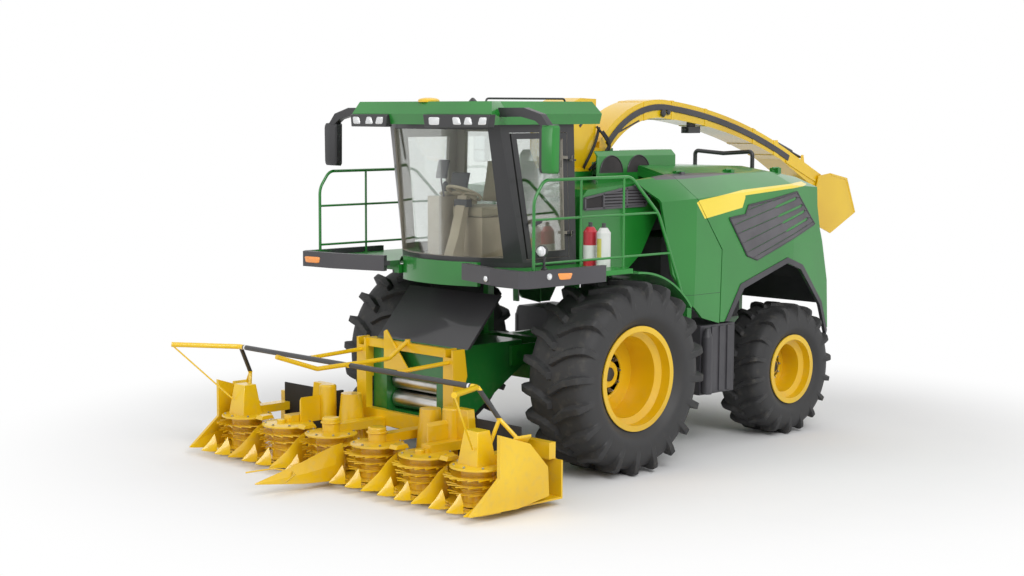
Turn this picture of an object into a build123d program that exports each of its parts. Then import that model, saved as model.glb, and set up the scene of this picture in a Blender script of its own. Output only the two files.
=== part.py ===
from build123d import *
import os
from math import cos, radians, sin

# Forage harvester with a six-rotor maize header, in millimetres. The machine faces -Y, its own left
# is +X, the floor is Z = 0 and the origin lies on the floor under the middle of its length.

# Clearances
FIT = 0.3           # pins, bores and seats
GAP = 6             # between panels that part

# Wheels: the front pair drives, the rear pair steers
FRONT_AXLE_Y = -1250
WHEELBASE = 3150
REAR_AXLE_Y = FRONT_AXLE_Y + WHEELBASE
FRONT_TYRE_R, FRONT_TYRE_W, FRONT_TRACK_X = 1030, 850, 1460
FRONT_RIM_R, FRONT_RIM_W, FRONT_DISC_IN = 560, 690, 170
REAR_TYRE_R, REAR_TYRE_W, REAR_TRACK_X = 780, 620, 1200
REAR_RIM_R, REAR_RIM_W, REAR_DISC_IN = 410, 540, 100
RIM_WALL = 14
BEAD_DROP = 45      # from the flange's edge down to the bead seat
WELL_DROP = 110     # from the flange's edge down to the well
FRONT_SPINDLE_R, REAR_SPINDLE_R = 110, 65
HUB_WALL = 45
KINGPIN_X, KINGPIN_R = 780, 30

# Frame
RAIL_IN, RAIL_OUT = 300, 380
RAIL_BOTTOM, RAIL_TOP = 1080, 1300
RAIL_FRONT_Y, RAIL_REAR_Y = -1150, 2560
CHEEK_IN, CHEEK_OUT = 430, 475
CAB_BEAM_IN, CAB_BEAM_OUT = 600, 680
CAB_BEAM_TOP = 2150
BEAM_DEPTH = 90

# Cab: bottom and top outlines, z, half width at the front corner and at the back, y of corner and nose
CAB_SILL_Z, CAB_TOP_Z = 2250, 3690
CAB_BACK_Y = -1330
CAB_LOW = (CAB_SILL_Z, 950, 960, -2130, -2540)
CAB_HIGH = (CAB_TOP_Z, 860, 910, -2400, -2590)
CAB_WALL = 45
CAB_FLOOR = 100
GLASS = 8
ROOF_TOP_Z = 3930
ROOF_FRONT_Y, ROOF_REAR_Y = -2740, -975
ROOF_CORNER_X, ROOF_SIDE_X = 1100, 960
DOOR_FRONT_Y, DOOR_BACK_Y = -2050, -1440
DOOR_LOW_Z, DOOR_HIGH_Z = 2285, 3600
DOOR_HINGE_X, DOOR_HINGE_Y = 990, -1425
DOOR_HINGE_ZS, DOOR_PIN_R = (2500, 3300), 9

# Body sections: y, half width at the foot, at the belt, at the shoulder, shoulder z,
# half width of the hood's edge, edge z, crown z
BODY_SECTIONS = (
    (-640, 1060, 1080, 1080, 2800, 1010, 3060, 3150),
    (95, 1420, 1450, 1450, 2864, 1100, 3105, 3215),
    (1900, 1420, 1450, 1430, 2960, 1100, 3110, 3170),
    (2750, 1360, 1400, 1360, 2900, 1040, 2990, 3030),
)
BODY_FOOT_Z, BODY_BELT_Z = 1200, 2273
PANEL = 30
HOOD_EDGE_X = 1010
SEAM_Y = 95          # upper seam between the front side panel and the service door
SEAM_LOW_Y = 547
PANEL_HINGE_X, PANEL_HINGE_Z, PANEL_HINGE_YS = 1013, 3146, (300, 1200, 2100)
PANEL_PIN_R, PANEL_BARREL_R, BARREL_LEN = 8, 14, 60

# Spout
TURRET_Y, TURRET_R = -480, 300
COLLAR_TOP_Z = 3150
SPOUT_HALF_W, SPOUT_WALL = 200, 14
SPOUT_PIN_Y, SPOUT_PIN_Z, SPOUT_PIN_R = -130, 3330, 28
FLAP_PIN_Y, FLAP_PIN_Z, FLAP_PIN_R = 4130, 2905, 14

# Feeder and header
LIFT_PIN_Y, LIFT_PIN_Z, LIFT_PIN_R = -1700, 1190, 45
FEEDER_IN, FEEDER_OUT = 390, 420
FEEDER_FRONT_Y, FEEDER_BACK_Y = -2850, -1600
FEEDER_LEG_X = 620
FEEDER_TOP_Z, FEEDER_LOW_Z = 1345, 520
MOUTH_TOP_Z = 985
ROLLER_Y, ROLLER_R = -2690, 95
ROLLER_ZS = (("lower", 720), ("upper", 925))
ROTORS, ROW_PITCH = 6, 750
ROTOR_Y, ROTOR_R, COVER_R = -3650, 345, 280
PAN_Z, PAN_T = 72, 18
COVER_Z, COVER_T = 440, 14
BEAM_FRONT_Y, BEAM_BACK_Y = -2960, -2870
BEAM_LOW_Z, BEAM_TOP_Z = 454, 620
HEADER_HALF_W = 2290
DRUM_X, DRUM_Y, DRUM_PIN_R = 640, -3155, 30

SIDES = (("left", 1), ("right", -1))


def block(x, y, z):
    """A box from its limits along X, Y and Z."""
    with BuildPart() as made:
        with Locations(((x[0] + x[1]) / 2, (y[0] + y[1]) / 2, (z[0] + z[1]) / 2)):
            Box(x[1] - x[0], y[1] - y[0], z[1] - z[0])
    return made.part


def prism(plane, outline, start, end):
    """A closed outline drawn on a plane, carried along the plane's normal from start to end."""
    with BuildPart() as made:
        with BuildSketch(plane.offset(start)):
            with BuildLine():
                Polyline(*outline, close=True)
            make_face()
        extrude(amount=end - start)
    return made.part


def side_prism(outline, x_in, x_out):
    """A side outline of (y, z) points, from one x to another."""
    return prism(Plane.YZ, outline, x_in, x_out)


def bar(points, radius, bend):
    """A round bar along straight runs joined by arcs."""
    with BuildPart() as made:
        with BuildLine() as path:
            FilletPolyline(*points, radius=bend)
        with BuildSketch(Plane(path.line @ 0, z_dir=path.line % 0)):
            Circle(radius)
        sweep(path=path.line)
    return made.part


def rod(start, end, radius):
    """A straight round rod between two points."""
    with BuildPart() as made:
        with BuildSketch(Plane(start, z_dir=Vector(*end) - Vector(*start))):
            Circle(radius)
        extrude(amount=(Vector(*end) - Vector(*start)).length)
    return made.part


def turned(centre, outline, side=1):
    """An outline of (distance outwards, radius) points turned about the X axis through a centre."""
    with BuildPart() as made:
        with BuildSketch(Plane(centre, x_dir=(side, 0, 0), z_dir=(0, -side, 0))):
            with BuildLine():
                Polyline(*outline, close=True)
            make_face()
        revolve(axis=Axis(centre, (1, 0, 0)))
    return made.part


def spun(centre, outline):
    """An outline of (radius, height) points turned about the Z axis through a centre."""
    with BuildPart() as made:
        with BuildSketch(Plane(centre, x_dir=(1, 0, 0), z_dir=(0, -1, 0))):
            with BuildLine():
                Polyline(*outline, close=True)
            make_face()
        revolve(axis=Axis(centre, (0, 0, 1)))
    return made.part


def cab_form(inset, low_z=CAB_LOW[0], high_z=CAB_HIGH[0]):
    """The cab's body: bowed in plan at the nose, narrower at the top, set in by a wall."""
    with BuildPart() as made:
        for z, corner_x, back_x, corner_y, nose_y in (CAB_LOW, CAB_HIGH):
            with BuildSketch(Plane.XY.offset(z)):
                with BuildLine():
                    ThreePointArc((corner_x - inset, corner_y + inset * 0.6), (0, nose_y + inset),
                                  (-corner_x + inset, corner_y + inset * 0.6))
                    Polyline((-corner_x + inset, corner_y + inset * 0.6),
                             (-back_x + inset, CAB_BACK_Y - inset),
                             (back_x - inset, CAB_BACK_Y - inset),
                             (corner_x - inset, corner_y + inset * 0.6))
                make_face()
        loft(ruled=True)
    return made.part


def sill_form(grow, z):
    """The bowed outline of the cab's sill, grown outwards, between two heights."""
    corner_x, back_x, corner_y, nose_y = CAB_LOW[1:]
    corner = (corner_x + grow / 2, corner_y - grow)
    with BuildPart() as made:
        with BuildSketch(Plane.XY.offset(z[0])):
            with BuildLine():
                ThreePointArc(corner, (0, nose_y - grow), (-corner[0], corner[1]))
                Polyline((-corner[0], corner[1]), (-back_x, CAB_BACK_Y), (back_x, CAB_BACK_Y), corner)
            make_face()
        extrude(amount=z[1] - z[0])
    return made.part


def body_form(inset):
    """The rear body: a few straight-sided sections along Y, set in by a wall and open below."""
    with BuildPart() as made:
        for y, foot, belt, shoulder, shoulder_z, edge, edge_z, crown_z in BODY_SECTIONS:
            right = [(foot - inset, BODY_FOOT_Z - inset), (belt - inset, BODY_BELT_Z),
                     (shoulder - inset, shoulder_z - inset / 2), (edge - inset / 2, edge_z - inset),
                     (edge * 0.6, crown_z - inset)]
            left = [(-x, z) for x, z in reversed(right)]
            with BuildSketch(Plane.XZ.offset(-y)):
                with BuildLine():
                    Polyline(*right, *left, close=True)
                make_face()
        loft(ruled=True)
    return made.part


# Wheels: rim, tyre and what they turn on
WHEELS = (
    # name, axle y, tyre radius, tyre width, centre x, flange radius, rim width, disc inset, spindle radius
    ("front", FRONT_AXLE_Y, FRONT_TYRE_R, FRONT_TYRE_W, FRONT_TRACK_X,
     FRONT_RIM_R, FRONT_RIM_W, FRONT_DISC_IN, FRONT_SPINDLE_R),
    ("rear", REAR_AXLE_Y, REAR_TYRE_R, REAR_TYRE_W, REAR_TRACK_X,
     REAR_RIM_R, REAR_RIM_W, REAR_DISC_IN, REAR_SPINDLE_R),
)


def rim(centre, side, flange_r, width, disc_in, spindle_r):
    """A deep-dished rim: flanges, bead seats and well as one turned wall, with its disc and hub."""
    half = width / 2
    seat_r, well_r = flange_r - BEAD_DROP, flange_r - WELL_DROP
    seat, well = half - RIM_WALL - 8, half - width / 4
    tyre_side = [(half, flange_r), (half - RIM_WALL, flange_r), (seat, seat_r), (half - width / 6, seat_r),
                 (well, well_r)]
    tyre_side += [(-u, r) for u, r in reversed(tyre_side)]
    bore_side = [(-half, seat_r - RIM_WALL), (-half + width / 6, seat_r - RIM_WALL),
                 (-well - RIM_WALL, well_r - RIM_WALL)]
    bore_side += [(-u, r) for u, r in reversed(bore_side)]
    disc_u = -disc_in
    hub_r = spindle_r + HUB_WALL
    disc = [(disc_u, well_r - RIM_WALL / 2), (disc_u, hub_r), (disc_u - 40, hub_r),
            (disc_u - 40, spindle_r + FIT), (disc_u + 60, spindle_r + FIT), (disc_u + 60, 0.5),
            (disc_u + 90, 0.5), (disc_u + 90, hub_r - 15), (disc_u + 60, hub_r), (disc_u + 24, hub_r),
            (disc_u + 24, well_r - RIM_WALL / 2)]
    with BuildPart() as made:
        add(turned(centre, tyre_side + bore_side, side))
        add(turned(centre, disc, side))
    return made.part


def tyre(centre, side, tyre_r, width, flange_r, rim_w):
    """A tyre as one turned ring, from its beads out to the lugs' tips."""
    half, seat = width / 2, rim_w / 2 - RIM_WALL - 8 - FIT
    bead_r = flange_r - BEAD_DROP + FIT
    right = [(seat, bead_r), (seat, flange_r + 10), (half * 0.94, flange_r + 0.3 * (tyre_r - flange_r)),
             (half, flange_r + 0.6 * (tyre_r - flange_r)), (half * 0.95, tyre_r - 90),
             (half * 0.8, tyre_r - 25), (half * 0.4, tyre_r)]
    left = [(-u, r) for u, r in reversed(right)]
    with BuildPart() as made:
        add(turned(centre, right + left, side))
    return made.part


parts = []


def finish_part(name, part):
    """Labels a finished piece and keeps it for writing."""
    part.label = name
    parts.append(part)


for axle, axle_y, tyre_r, tyre_w, track_x, flange_r, rim_w, disc_in, spindle_r in WHEELS:
    for side_name, side in SIDES:
        centre = (side * track_x, axle_y, tyre_r)
        with BuildPart() as wheel_rim:
            add(rim(centre, side, flange_r, rim_w, disc_in, spindle_r))
        finish_part(f"{axle}_rim_{side_name}", wheel_rim.part)
        with BuildPart() as wheel_tyre:
            add(tyre(centre, side, tyre_r, tyre_w, flange_r, rim_w))
        finish_part(f"{axle}_tyre_{side_name}", wheel_tyre.part)

# Axles: the front one carries final drives and spindles, the rear one forks for the kingpins
FINAL_DRIVE_R, FINAL_DRIVE_X = 330, (700, 985)
FORK_R, FORK_T, FORK_HALF_H = 70, 40, 85
REAR_BEAM_HALF = 75
with BuildPart() as axles:
    add(block((-FINAL_DRIVE_X[0], FINAL_DRIVE_X[0]), (FRONT_AXLE_Y - 150, FRONT_AXLE_Y + 150),
              (RAIL_BOTTOM - 200, RAIL_BOTTOM)))
    for side_name, side in SIDES:
        spindle_end = FRONT_TRACK_X - FRONT_DISC_IN + 55
        drive = [(0, 0.5), (0, FINAL_DRIVE_R - 30), (60, FINAL_DRIVE_R), (235, FINAL_DRIVE_R),
                 (FINAL_DRIVE_X[1] - FINAL_DRIVE_X[0], 200), (FINAL_DRIVE_X[1] - FINAL_DRIVE_X[0], FRONT_SPINDLE_R),
                 (spindle_end - FINAL_DRIVE_X[0], FRONT_SPINDLE_R), (spindle_end - FINAL_DRIVE_X[0], 0.5)]
        add(turned((side * FINAL_DRIVE_X[0], FRONT_AXLE_Y, FRONT_TYRE_R), drive, side))
    fork_in = KINGPIN_X - FORK_R - 10
    add(block((-fork_in, fork_in), (REAR_AXLE_Y - REAR_BEAM_HALF, REAR_AXLE_Y + REAR_BEAM_HALF),
              (REAR_TYRE_R - FORK_HALF_H - FORK_T, REAR_TYRE_R + FORK_HALF_H + FORK_T)))
    add(block((-160, 160), (REAR_AXLE_Y - 110, REAR_AXLE_Y + 110), (REAR_TYRE_R, RAIL_BOTTOM)))
    add(block((-RAIL_OUT, RAIL_OUT), (REAR_AXLE_Y - 110, REAR_AXLE_Y + 110), (RAIL_BOTTOM - 40, RAIL_BOTTOM)))
    for side_name, side in SIDES:
        for z in (REAR_TYRE_R - FORK_HALF_H - FORK_T, REAR_TYRE_R + FORK_HALF_H):
            add(block(sorted((side * (fork_in - 5), side * KINGPIN_X)),
                      (REAR_AXLE_Y - FORK_R, REAR_AXLE_Y + FORK_R), (z, z + FORK_T)))
            add(rod((side * KINGPIN_X, REAR_AXLE_Y, z), (side * KINGPIN_X, REAR_AXLE_Y, z + FORK_T), FORK_R))
            add(rod((side * KINGPIN_X, REAR_AXLE_Y, z - 5), (side * KINGPIN_X, REAR_AXLE_Y, z + FORK_T + 5),
                    KINGPIN_R + FIT), mode=Mode.SUBTRACT)
finish_part("axles", axles.part)

KNUCKLE_R = 60
for side_name, side in SIDES:
    with BuildPart() as knuckle:
        pin_low = REAR_TYRE_R - FORK_HALF_H - FORK_T
        pin_high = REAR_TYRE_R + FORK_HALF_H + FORK_T
        pin_x = side * KINGPIN_X
        add(rod((pin_x, REAR_AXLE_Y, pin_low), (pin_x, REAR_AXLE_Y, pin_high), KINGPIN_R))
        add(rod((pin_x, REAR_AXLE_Y, REAR_TYRE_R - FORK_HALF_H + FIT),
                (pin_x, REAR_AXLE_Y, REAR_TYRE_R + FORK_HALF_H - FIT), KNUCKLE_R))
        add(rod((pin_x, REAR_AXLE_Y, REAR_TYRE_R),
                (side * (REAR_TRACK_X - REAR_DISC_IN + 55), REAR_AXLE_Y, REAR_TYRE_R), REAR_SPINDLE_R))
    finish_part(f"knuckle_{side_name}", knuckle.part)

# Frame: rails, cross members, feeder cheeks, cab beams, body hoops, side boxes and the posts between
HOOP_Y = (45, 92)
HOOP_DEPTH = 90
REAR_POST_Y = (2270, 2330)
CAB_POST_Y = (-1130, -1040)
OUTRIGGERS_Y, OUTRIGGER_X = (-2500, -1900), 1700
BOX_Y, BOX_Z, BOX_X = (207, 818), (645, 1430), (900, 1440)
BOX_ARM_Y = (BOX_Y[0] + 100, BOX_Y[1] - 100)
CROSS_MEMBER_YS = (RAIL_FRONT_Y, -200, 800, RAIL_REAR_Y - 100)
HITCH_Y, HITCH_Z, HITCH_R = 2700, (880, 1030), 20
HITCH_PLATE, HITCH_HALF_W = 30, 120
with BuildPart() as frame:
    for z in (HITCH_Z[0], HITCH_Z[1] - HITCH_PLATE):
        plate_z = (z, z + HITCH_PLATE)
        add(block((-HITCH_HALF_W, HITCH_HALF_W), (RAIL_REAR_Y - 20, HITCH_Y), plate_z))
        add(rod((0, HITCH_Y, plate_z[0]), (0, HITCH_Y, plate_z[1]), HITCH_HALF_W))
    add(block((-RAIL_OUT, RAIL_OUT), (RAIL_REAR_Y - 60, RAIL_REAR_Y), (HITCH_Z[0], RAIL_BOTTOM)))
    add(rod((0, HITCH_Y, HITCH_Z[0] - 5), (0, HITCH_Y, HITCH_Z[1] + 5), HITCH_R), mode=Mode.SUBTRACT)
    for side_name, side in SIDES:
        rail_z = (RAIL_BOTTOM, RAIL_TOP)
        add(block(sorted((side * RAIL_IN, side * RAIL_OUT)), (RAIL_FRONT_Y, RAIL_REAR_Y), rail_z))
        add(block(sorted((side * CHEEK_IN, side * CHEEK_OUT)), (LIFT_PIN_Y - 110, FRONT_AXLE_Y + 150), rail_z))
        add(rod((side * (CHEEK_IN - 5), LIFT_PIN_Y, LIFT_PIN_Z), (side * (CHEEK_OUT + 5), LIFT_PIN_Y, LIFT_PIN_Z),
                LIFT_PIN_R + FIT), mode=Mode.SUBTRACT)
        add(block(sorted((side * RAIL_IN, side * CAB_BEAM_OUT)), CAB_POST_Y, rail_z))
        add(block(sorted((side * RAIL_IN, side * BOX_X[0])), BOX_ARM_Y, rail_z))
    for y in CROSS_MEMBER_YS:
        add(block((-RAIL_IN, RAIL_IN), (y, y + 100), rail_z))
finish_part("frame", frame.part)

# Posts, beams and outriggers that carry the cab and its platforms
with BuildPart() as cab_beams:
    for side_name, side in SIDES:
        beam_x = sorted((side * CAB_BEAM_IN, side * CAB_BEAM_OUT))
        add(block(beam_x, CAB_POST_Y, (RAIL_TOP, CAB_BEAM_TOP)))
        add(block(beam_x, (OUTRIGGERS_Y[0], CAB_POST_Y[1]), (CAB_BEAM_TOP - BEAM_DEPTH, CAB_BEAM_TOP)))
        for y in OUTRIGGERS_Y:
            add(block(sorted((side * CAB_BEAM_IN, side * OUTRIGGER_X)), (y, y + 80), (CAB_BEAM_TOP - 60, CAB_BEAM_TOP)))
finish_part("cab_beams", cab_beams.part)

# Portals that carry the rear body: a hoop at the cab's end and posts with a header bar at the tail
with BuildPart() as hoops:
    add(body_form(PANEL + FIT))
    add(body_form(PANEL + HOOP_DEPTH), mode=Mode.SUBTRACT)
    with BuildPart(mode=Mode.PRIVATE) as hoop_places:
        add(block((-1500, 1500), HOOP_Y, (1500, 3300)))
        add(block((-HOOD_EDGE_X + 40, HOOD_EDGE_X - 40), REAR_POST_Y, (2700, 3300)))
    add(hoop_places.part, mode=Mode.INTERSECT)
with BuildPart() as body_hoops:
    add(hoops.part)
    for side_name, side in SIDES:
        post_x = sorted((side * RAIL_IN, side * RAIL_OUT))
        add(block(post_x, REAR_POST_Y, (RAIL_TOP, 3030)))
        add(block(post_x, HOOP_Y, (RAIL_TOP, 3100)))
finish_part("body_hoops", body_hoops.part)

# Tank and battery boxes between the wheels
with BuildPart() as side_boxes:
    for side_name, side in SIDES:
        add(block(sorted((side * BOX_X[0], side * BOX_X[1])), BOX_Y, BOX_Z))
finish_part("side_boxes", side_boxes.part)

# Engine: one plain block on the rails
with BuildPart() as engine_block:
    add(block((-430, 430), (700, 2200), (RAIL_TOP, 2350)))
finish_part("engine_block", engine_block.part)

# Cab: shell with its floor, glass, door, door glass
NOSE_WINDOW = [(-800, 2300), (800, 2300), (740, 3640), (-740, 3640)]
SIDE_WINDOW = [(DOOR_FRONT_Y + 60, DOOR_LOW_Z + 70), (DOOR_BACK_Y - 60, DOOR_LOW_Z + 70),
               (DOOR_BACK_Y - 60, DOOR_HIGH_Z - 60), (DOOR_FRONT_Y - 110, DOOR_HIGH_Z - 60)]
DOOR_OUTLINE = [(DOOR_FRONT_Y, DOOR_LOW_Z), (DOOR_BACK_Y, DOOR_LOW_Z),
                (DOOR_BACK_Y, DOOR_HIGH_Z), (DOOR_FRONT_Y - 190, DOOR_HIGH_Z)]
DOOR_HOLE = [(DOOR_FRONT_Y - 22, DOOR_LOW_Z - GAP), (DOOR_BACK_Y + GAP, DOOR_LOW_Z - GAP),
             (DOOR_BACK_Y + GAP, DOOR_HIGH_Z + GAP), (DOOR_FRONT_Y - 212, DOOR_HIGH_Z + GAP)]
BACK_WINDOW = [(-760, 2700), (760, 2700), (740, 3600), (-740, 3600)]
with BuildPart() as cab_shell:
    add(cab_form(0))
    add(cab_form(CAB_WALL), mode=Mode.SUBTRACT)
    add(prism(Plane.XZ, NOSE_WINDOW, 2200, 2700), mode=Mode.SUBTRACT)
    add(prism(Plane.XZ, BACK_WINDOW, 1200, 1500), mode=Mode.SUBTRACT)
    add(side_prism(DOOR_HOLE, 700, 1100), mode=Mode.SUBTRACT)
    add(side_prism(SIDE_WINDOW, -1100, -700), mode=Mode.SUBTRACT)
    add(sill_form(0, (CAB_BEAM_TOP, CAB_BEAM_TOP + CAB_FLOOR)))
    for z in DOOR_HINGE_ZS:
        add(block((DOOR_HINGE_X - 90, DOOR_HINGE_X + DOOR_PIN_R), (DOOR_HINGE_Y + 20, DOOR_HINGE_Y + 40),
                  (z, z + 20)))
        add(block((DOOR_HINGE_X - DOOR_PIN_R, DOOR_HINGE_X + DOOR_PIN_R), (DOOR_HINGE_Y, DOOR_HINGE_Y + 40),
                  (z, z + 20)))
        add(rod((DOOR_HINGE_X, DOOR_HINGE_Y, z), (DOOR_HINGE_X, DOOR_HINGE_Y, z + 60), DOOR_PIN_R))
finish_part("cab_shell", cab_shell.part)

with BuildPart() as cab_glass:
    add(cab_form(CAB_WALL / 2))
    add(cab_form(CAB_WALL / 2 + GLASS), mode=Mode.SUBTRACT)
    with BuildPart(mode=Mode.PRIVATE) as openings:
        add(prism(Plane.XZ, NOSE_WINDOW, 2200, 2700))
        add(prism(Plane.XZ, BACK_WINDOW, 1200, 1500))
        add(side_prism(SIDE_WINDOW, -1100, -700))
    add(openings.part, mode=Mode.INTERSECT)
finish_part("cab_glass", cab_glass.part)

with BuildPart() as cab_door:
    add(cab_form(0))
    add(cab_form(CAB_WALL), mode=Mode.SUBTRACT)
    add(side_prism(DOOR_OUTLINE, 700, 1100), mode=Mode.INTERSECT)
    add(side_prism(SIDE_WINDOW, 700, 1100), mode=Mode.SUBTRACT)
    for z in DOOR_HINGE_ZS:
        barrel = (z + 25, z + 55)
        add(block((DOOR_HINGE_X - 90, DOOR_HINGE_X - 5), (DOOR_BACK_Y - 60, DOOR_BACK_Y - GAP), barrel))
        add(block((DOOR_HINGE_X - 22, DOOR_HINGE_X - 5), (DOOR_BACK_Y - GAP, DOOR_HINGE_Y), barrel))
        add(rod((DOOR_HINGE_X, DOOR_HINGE_Y, barrel[0]), (DOOR_HINGE_X, DOOR_HINGE_Y, barrel[1]), 16))
        add(rod((DOOR_HINGE_X, DOOR_HINGE_Y, z), (DOOR_HINGE_X, DOOR_HINGE_Y, z + 60), DOOR_PIN_R + FIT),
            mode=Mode.SUBTRACT)
finish_part("cab_door", cab_door.part)

with BuildPart() as cab_door_glass:
    add(cab_form(CAB_WALL / 2))
    add(cab_form(CAB_WALL / 2 + GLASS), mode=Mode.SUBTRACT)
    add(side_prism(SIDE_WINDOW, 700, 1100), mode=Mode.INTERSECT)
finish_part("cab_door_glass", cab_door_glass.part)

# Cab roof: a visor-edged slab wider at the front corners, and the mirrors on their arms
MIRROR_X, MIRROR_Y, MIRROR_Z = 1700, -2530, (3210, 3700)
MIRROR_ARM_Z = 3850
ROOF_LOW = ((ROOF_CORNER_X - 40, ROOF_FRONT_Y + 40), (ROOF_SIDE_X, -2420), (ROOF_SIDE_X, ROOF_REAR_Y))
ROOF_MID = ((ROOF_CORNER_X, ROOF_FRONT_Y), (ROOF_SIDE_X + 30, -2400), (ROOF_SIDE_X + 30, ROOF_REAR_Y))
ROOF_HIGH = ((ROOF_CORNER_X - 60, ROOF_FRONT_Y + 60), (ROOF_SIDE_X - 60, -2420), (ROOF_SIDE_X - 60, ROOF_REAR_Y - 60))
ROOF_EDGE_Z = 3800
with BuildPart() as cab_roof:
    for low, high, low_z, high_z in ((ROOF_LOW, ROOF_MID, CAB_TOP_Z, ROOF_EDGE_Z),
                                     (ROOF_MID, ROOF_HIGH, ROOF_EDGE_Z, ROOF_TOP_Z)):
        for outline, z in ((low, low_z), (high, high_z)):
            with BuildSketch(Plane.XY.offset(z)):
                with BuildLine():
                    Polyline(*outline, *[(-x, y) for x, y in reversed(outline)], close=True)
                make_face()
        loft(ruled=True)
finish_part("cab_roof", cab_roof.part)

with BuildPart() as mirrors:
    for side_name, side in SIDES:
        add(bar([(side * 900, -2560, MIRROR_ARM_Z), (side * MIRROR_X, MIRROR_Y, MIRROR_ARM_Z),
                 (side * MIRROR_X, MIRROR_Y, 3600)], 16, 60))
        add(block(sorted((side * (MIRROR_X - 110), side * (MIRROR_X + 110))), (MIRROR_Y - 45, MIRROR_Y + 45),
                  MIRROR_Z))
    add(cab_roof.part, mode=Mode.SUBTRACT)
finish_part("mirrors", mirrors.part)

# Seat and controls
SEAT_Y = -1800
with BuildPart() as cab_seat:
    add(block((-260, 260), (SEAT_Y - 260, SEAT_Y + 260), (2680, 2810)))
    add(side_prism([(SEAT_Y + 150, 2800), (SEAT_Y + 260, 2800), (SEAT_Y + 360, 3480), (SEAT_Y + 260, 3480)],
                   -240, 240))
finish_part("cab_seat", cab_seat.part)

with BuildPart() as cab_console:
    add(block((-200, 200), (SEAT_Y - 200, SEAT_Y + 240), (CAB_SILL_Z, 2680)))
    add(block((-480, -300), (SEAT_Y - 380, SEAT_Y + 200), (CAB_SILL_Z, 2900)))
    add(side_prism([(-2330, CAB_SILL_Z), (-2150, CAB_SILL_Z), (-2150, 2400), (-2060, 2900), (-2110, 2920),
                    (-2230, 2500)], -70, 70))
    add(rod((0, -2090, 2860), (0, -2090, 2940), 24))
    with BuildSketch(Plane((0, -2090, 2935), z_dir=(0, 0.45, 1))):
        Circle(205)
        Circle(178, mode=Mode.SUBTRACT)
        Rectangle(370, 30)
        Rectangle(30, 370)
    extrude(amount=24)
finish_part("cab_console", cab_console.part)

# Platforms beside the cab with their dark bumpers
PLATFORM_TOP, PLATFORM_FRONT_Y, PLATFORM_BACK_Y, PLATFORM_X = 2200, -2960, -1340, 1780
with BuildPart() as platforms:
    for side_name, side in SIDES:
        outline = [(620, -2700), (1250, PLATFORM_FRONT_Y + 60), (PLATFORM_X - 60, PLATFORM_FRONT_Y),
                   (PLATFORM_X, PLATFORM_FRONT_Y + 80), (PLATFORM_X, PLATFORM_BACK_Y), (980, PLATFORM_BACK_Y),
                   (980, -2130), (620, -2470)]
        add(prism(Plane.XY, [(side * x, y) for x, y in outline], CAB_BEAM_TOP, PLATFORM_TOP))
        add(prism(Plane.XY, [(side * x, y) for x, y in ((620, -2700), (1250, PLATFORM_FRONT_Y + 60),
                                                        (PLATFORM_X - 60, PLATFORM_FRONT_Y),
                                                        (PLATFORM_X, PLATFORM_FRONT_Y + 80),
                                                        (PLATFORM_X, -1750), (PLATFORM_X - 50, -1750),
                                                        (PLATFORM_X - 60, PLATFORM_FRONT_Y + 100),
                                                        (1250, PLATFORM_FRONT_Y + 130), (650, -2630))],
                  CAB_BEAM_TOP - 60, PLATFORM_TOP + 60))
finish_part("platforms", platforms.part)

# Green panels low down: the bowed one under the windscreen and the fenders behind the platforms
FENDER_CLEAR, FENDER_T = 75, 22
LOWER_PANEL_Z = 1995
with BuildPart() as lower_panels:
    add(sill_form(40, (LOWER_PANEL_Z, CAB_SILL_Z)))
    add(sill_form(FIT, (LOWER_PANEL_Z, CAB_SILL_Z)), mode=Mode.SUBTRACT)
    add(block((-590, 590), (-2700, -2190), (LOWER_PANEL_Z, CAB_SILL_Z)), mode=Mode.INTERSECT)
    inner_r = FRONT_TYRE_R + FENDER_CLEAR
    for side_name, side in SIDES:
        with BuildSketch(Plane.YZ.offset(side * 1365 - 415)):
            with BuildLine():
                start = (FRONT_AXLE_Y, FRONT_TYRE_R + inner_r)
                middle = (FRONT_AXLE_Y + inner_r * sin(radians(25)), FRONT_TYRE_R + inner_r * cos(radians(25)))
                end = (FRONT_AXLE_Y + inner_r * sin(radians(52)), FRONT_TYRE_R + inner_r * cos(radians(52)))
                ThreePointArc(start, middle, end)
                outer_r = inner_r + FENDER_T
                start2 = (FRONT_AXLE_Y, FRONT_TYRE_R + outer_r)
                middle2 = (FRONT_AXLE_Y + outer_r * sin(radians(25)), FRONT_TYRE_R + outer_r * cos(radians(25)))
                end2 = (FRONT_AXLE_Y + outer_r * sin(radians(52)), FRONT_TYRE_R + outer_r * cos(radians(52)))
                ThreePointArc(start2, middle2, end2)
                Line(start, start2)
                Line(end, end2)
            make_face()
        extrude(amount=830)
finish_part("lower_panels", lower_panels.part)

# Railings: a hoop closes the platform's front, a long rail runs back along its side
RAIL_R, RAIL_X, RAIL_TOP_Z, RAIL_MID_Z = 17, 1695, 3150, 2690
with BuildPart() as railings:
    for side_name, side in SIDES:
        x = side * RAIL_X
        add(bar([(x, -2700, PLATFORM_TOP), (x, -2700, RAIL_TOP_Z), (x, -1400, RAIL_TOP_Z),
                 (x, -1400, PLATFORM_TOP)], RAIL_R, 90))
        add(rod((x, -2700, RAIL_MID_Z), (x, -1400, RAIL_MID_Z), RAIL_R - 3))
        add(rod((x, -2050, PLATFORM_TOP), (x, -2050, RAIL_TOP_Z), RAIL_R - 3))
finish_part("railings", railings.part)

with BuildPart() as extinguishers:
    for x in (1240, 1430):
        add(spun((x, -1410, PLATFORM_TOP), [(0, 0), (75, 0), (75, 360), (40, 410), (22, 420), (22, 460), (0, 460)]))
finish_part("extinguishers", extinguishers.part)

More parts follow.
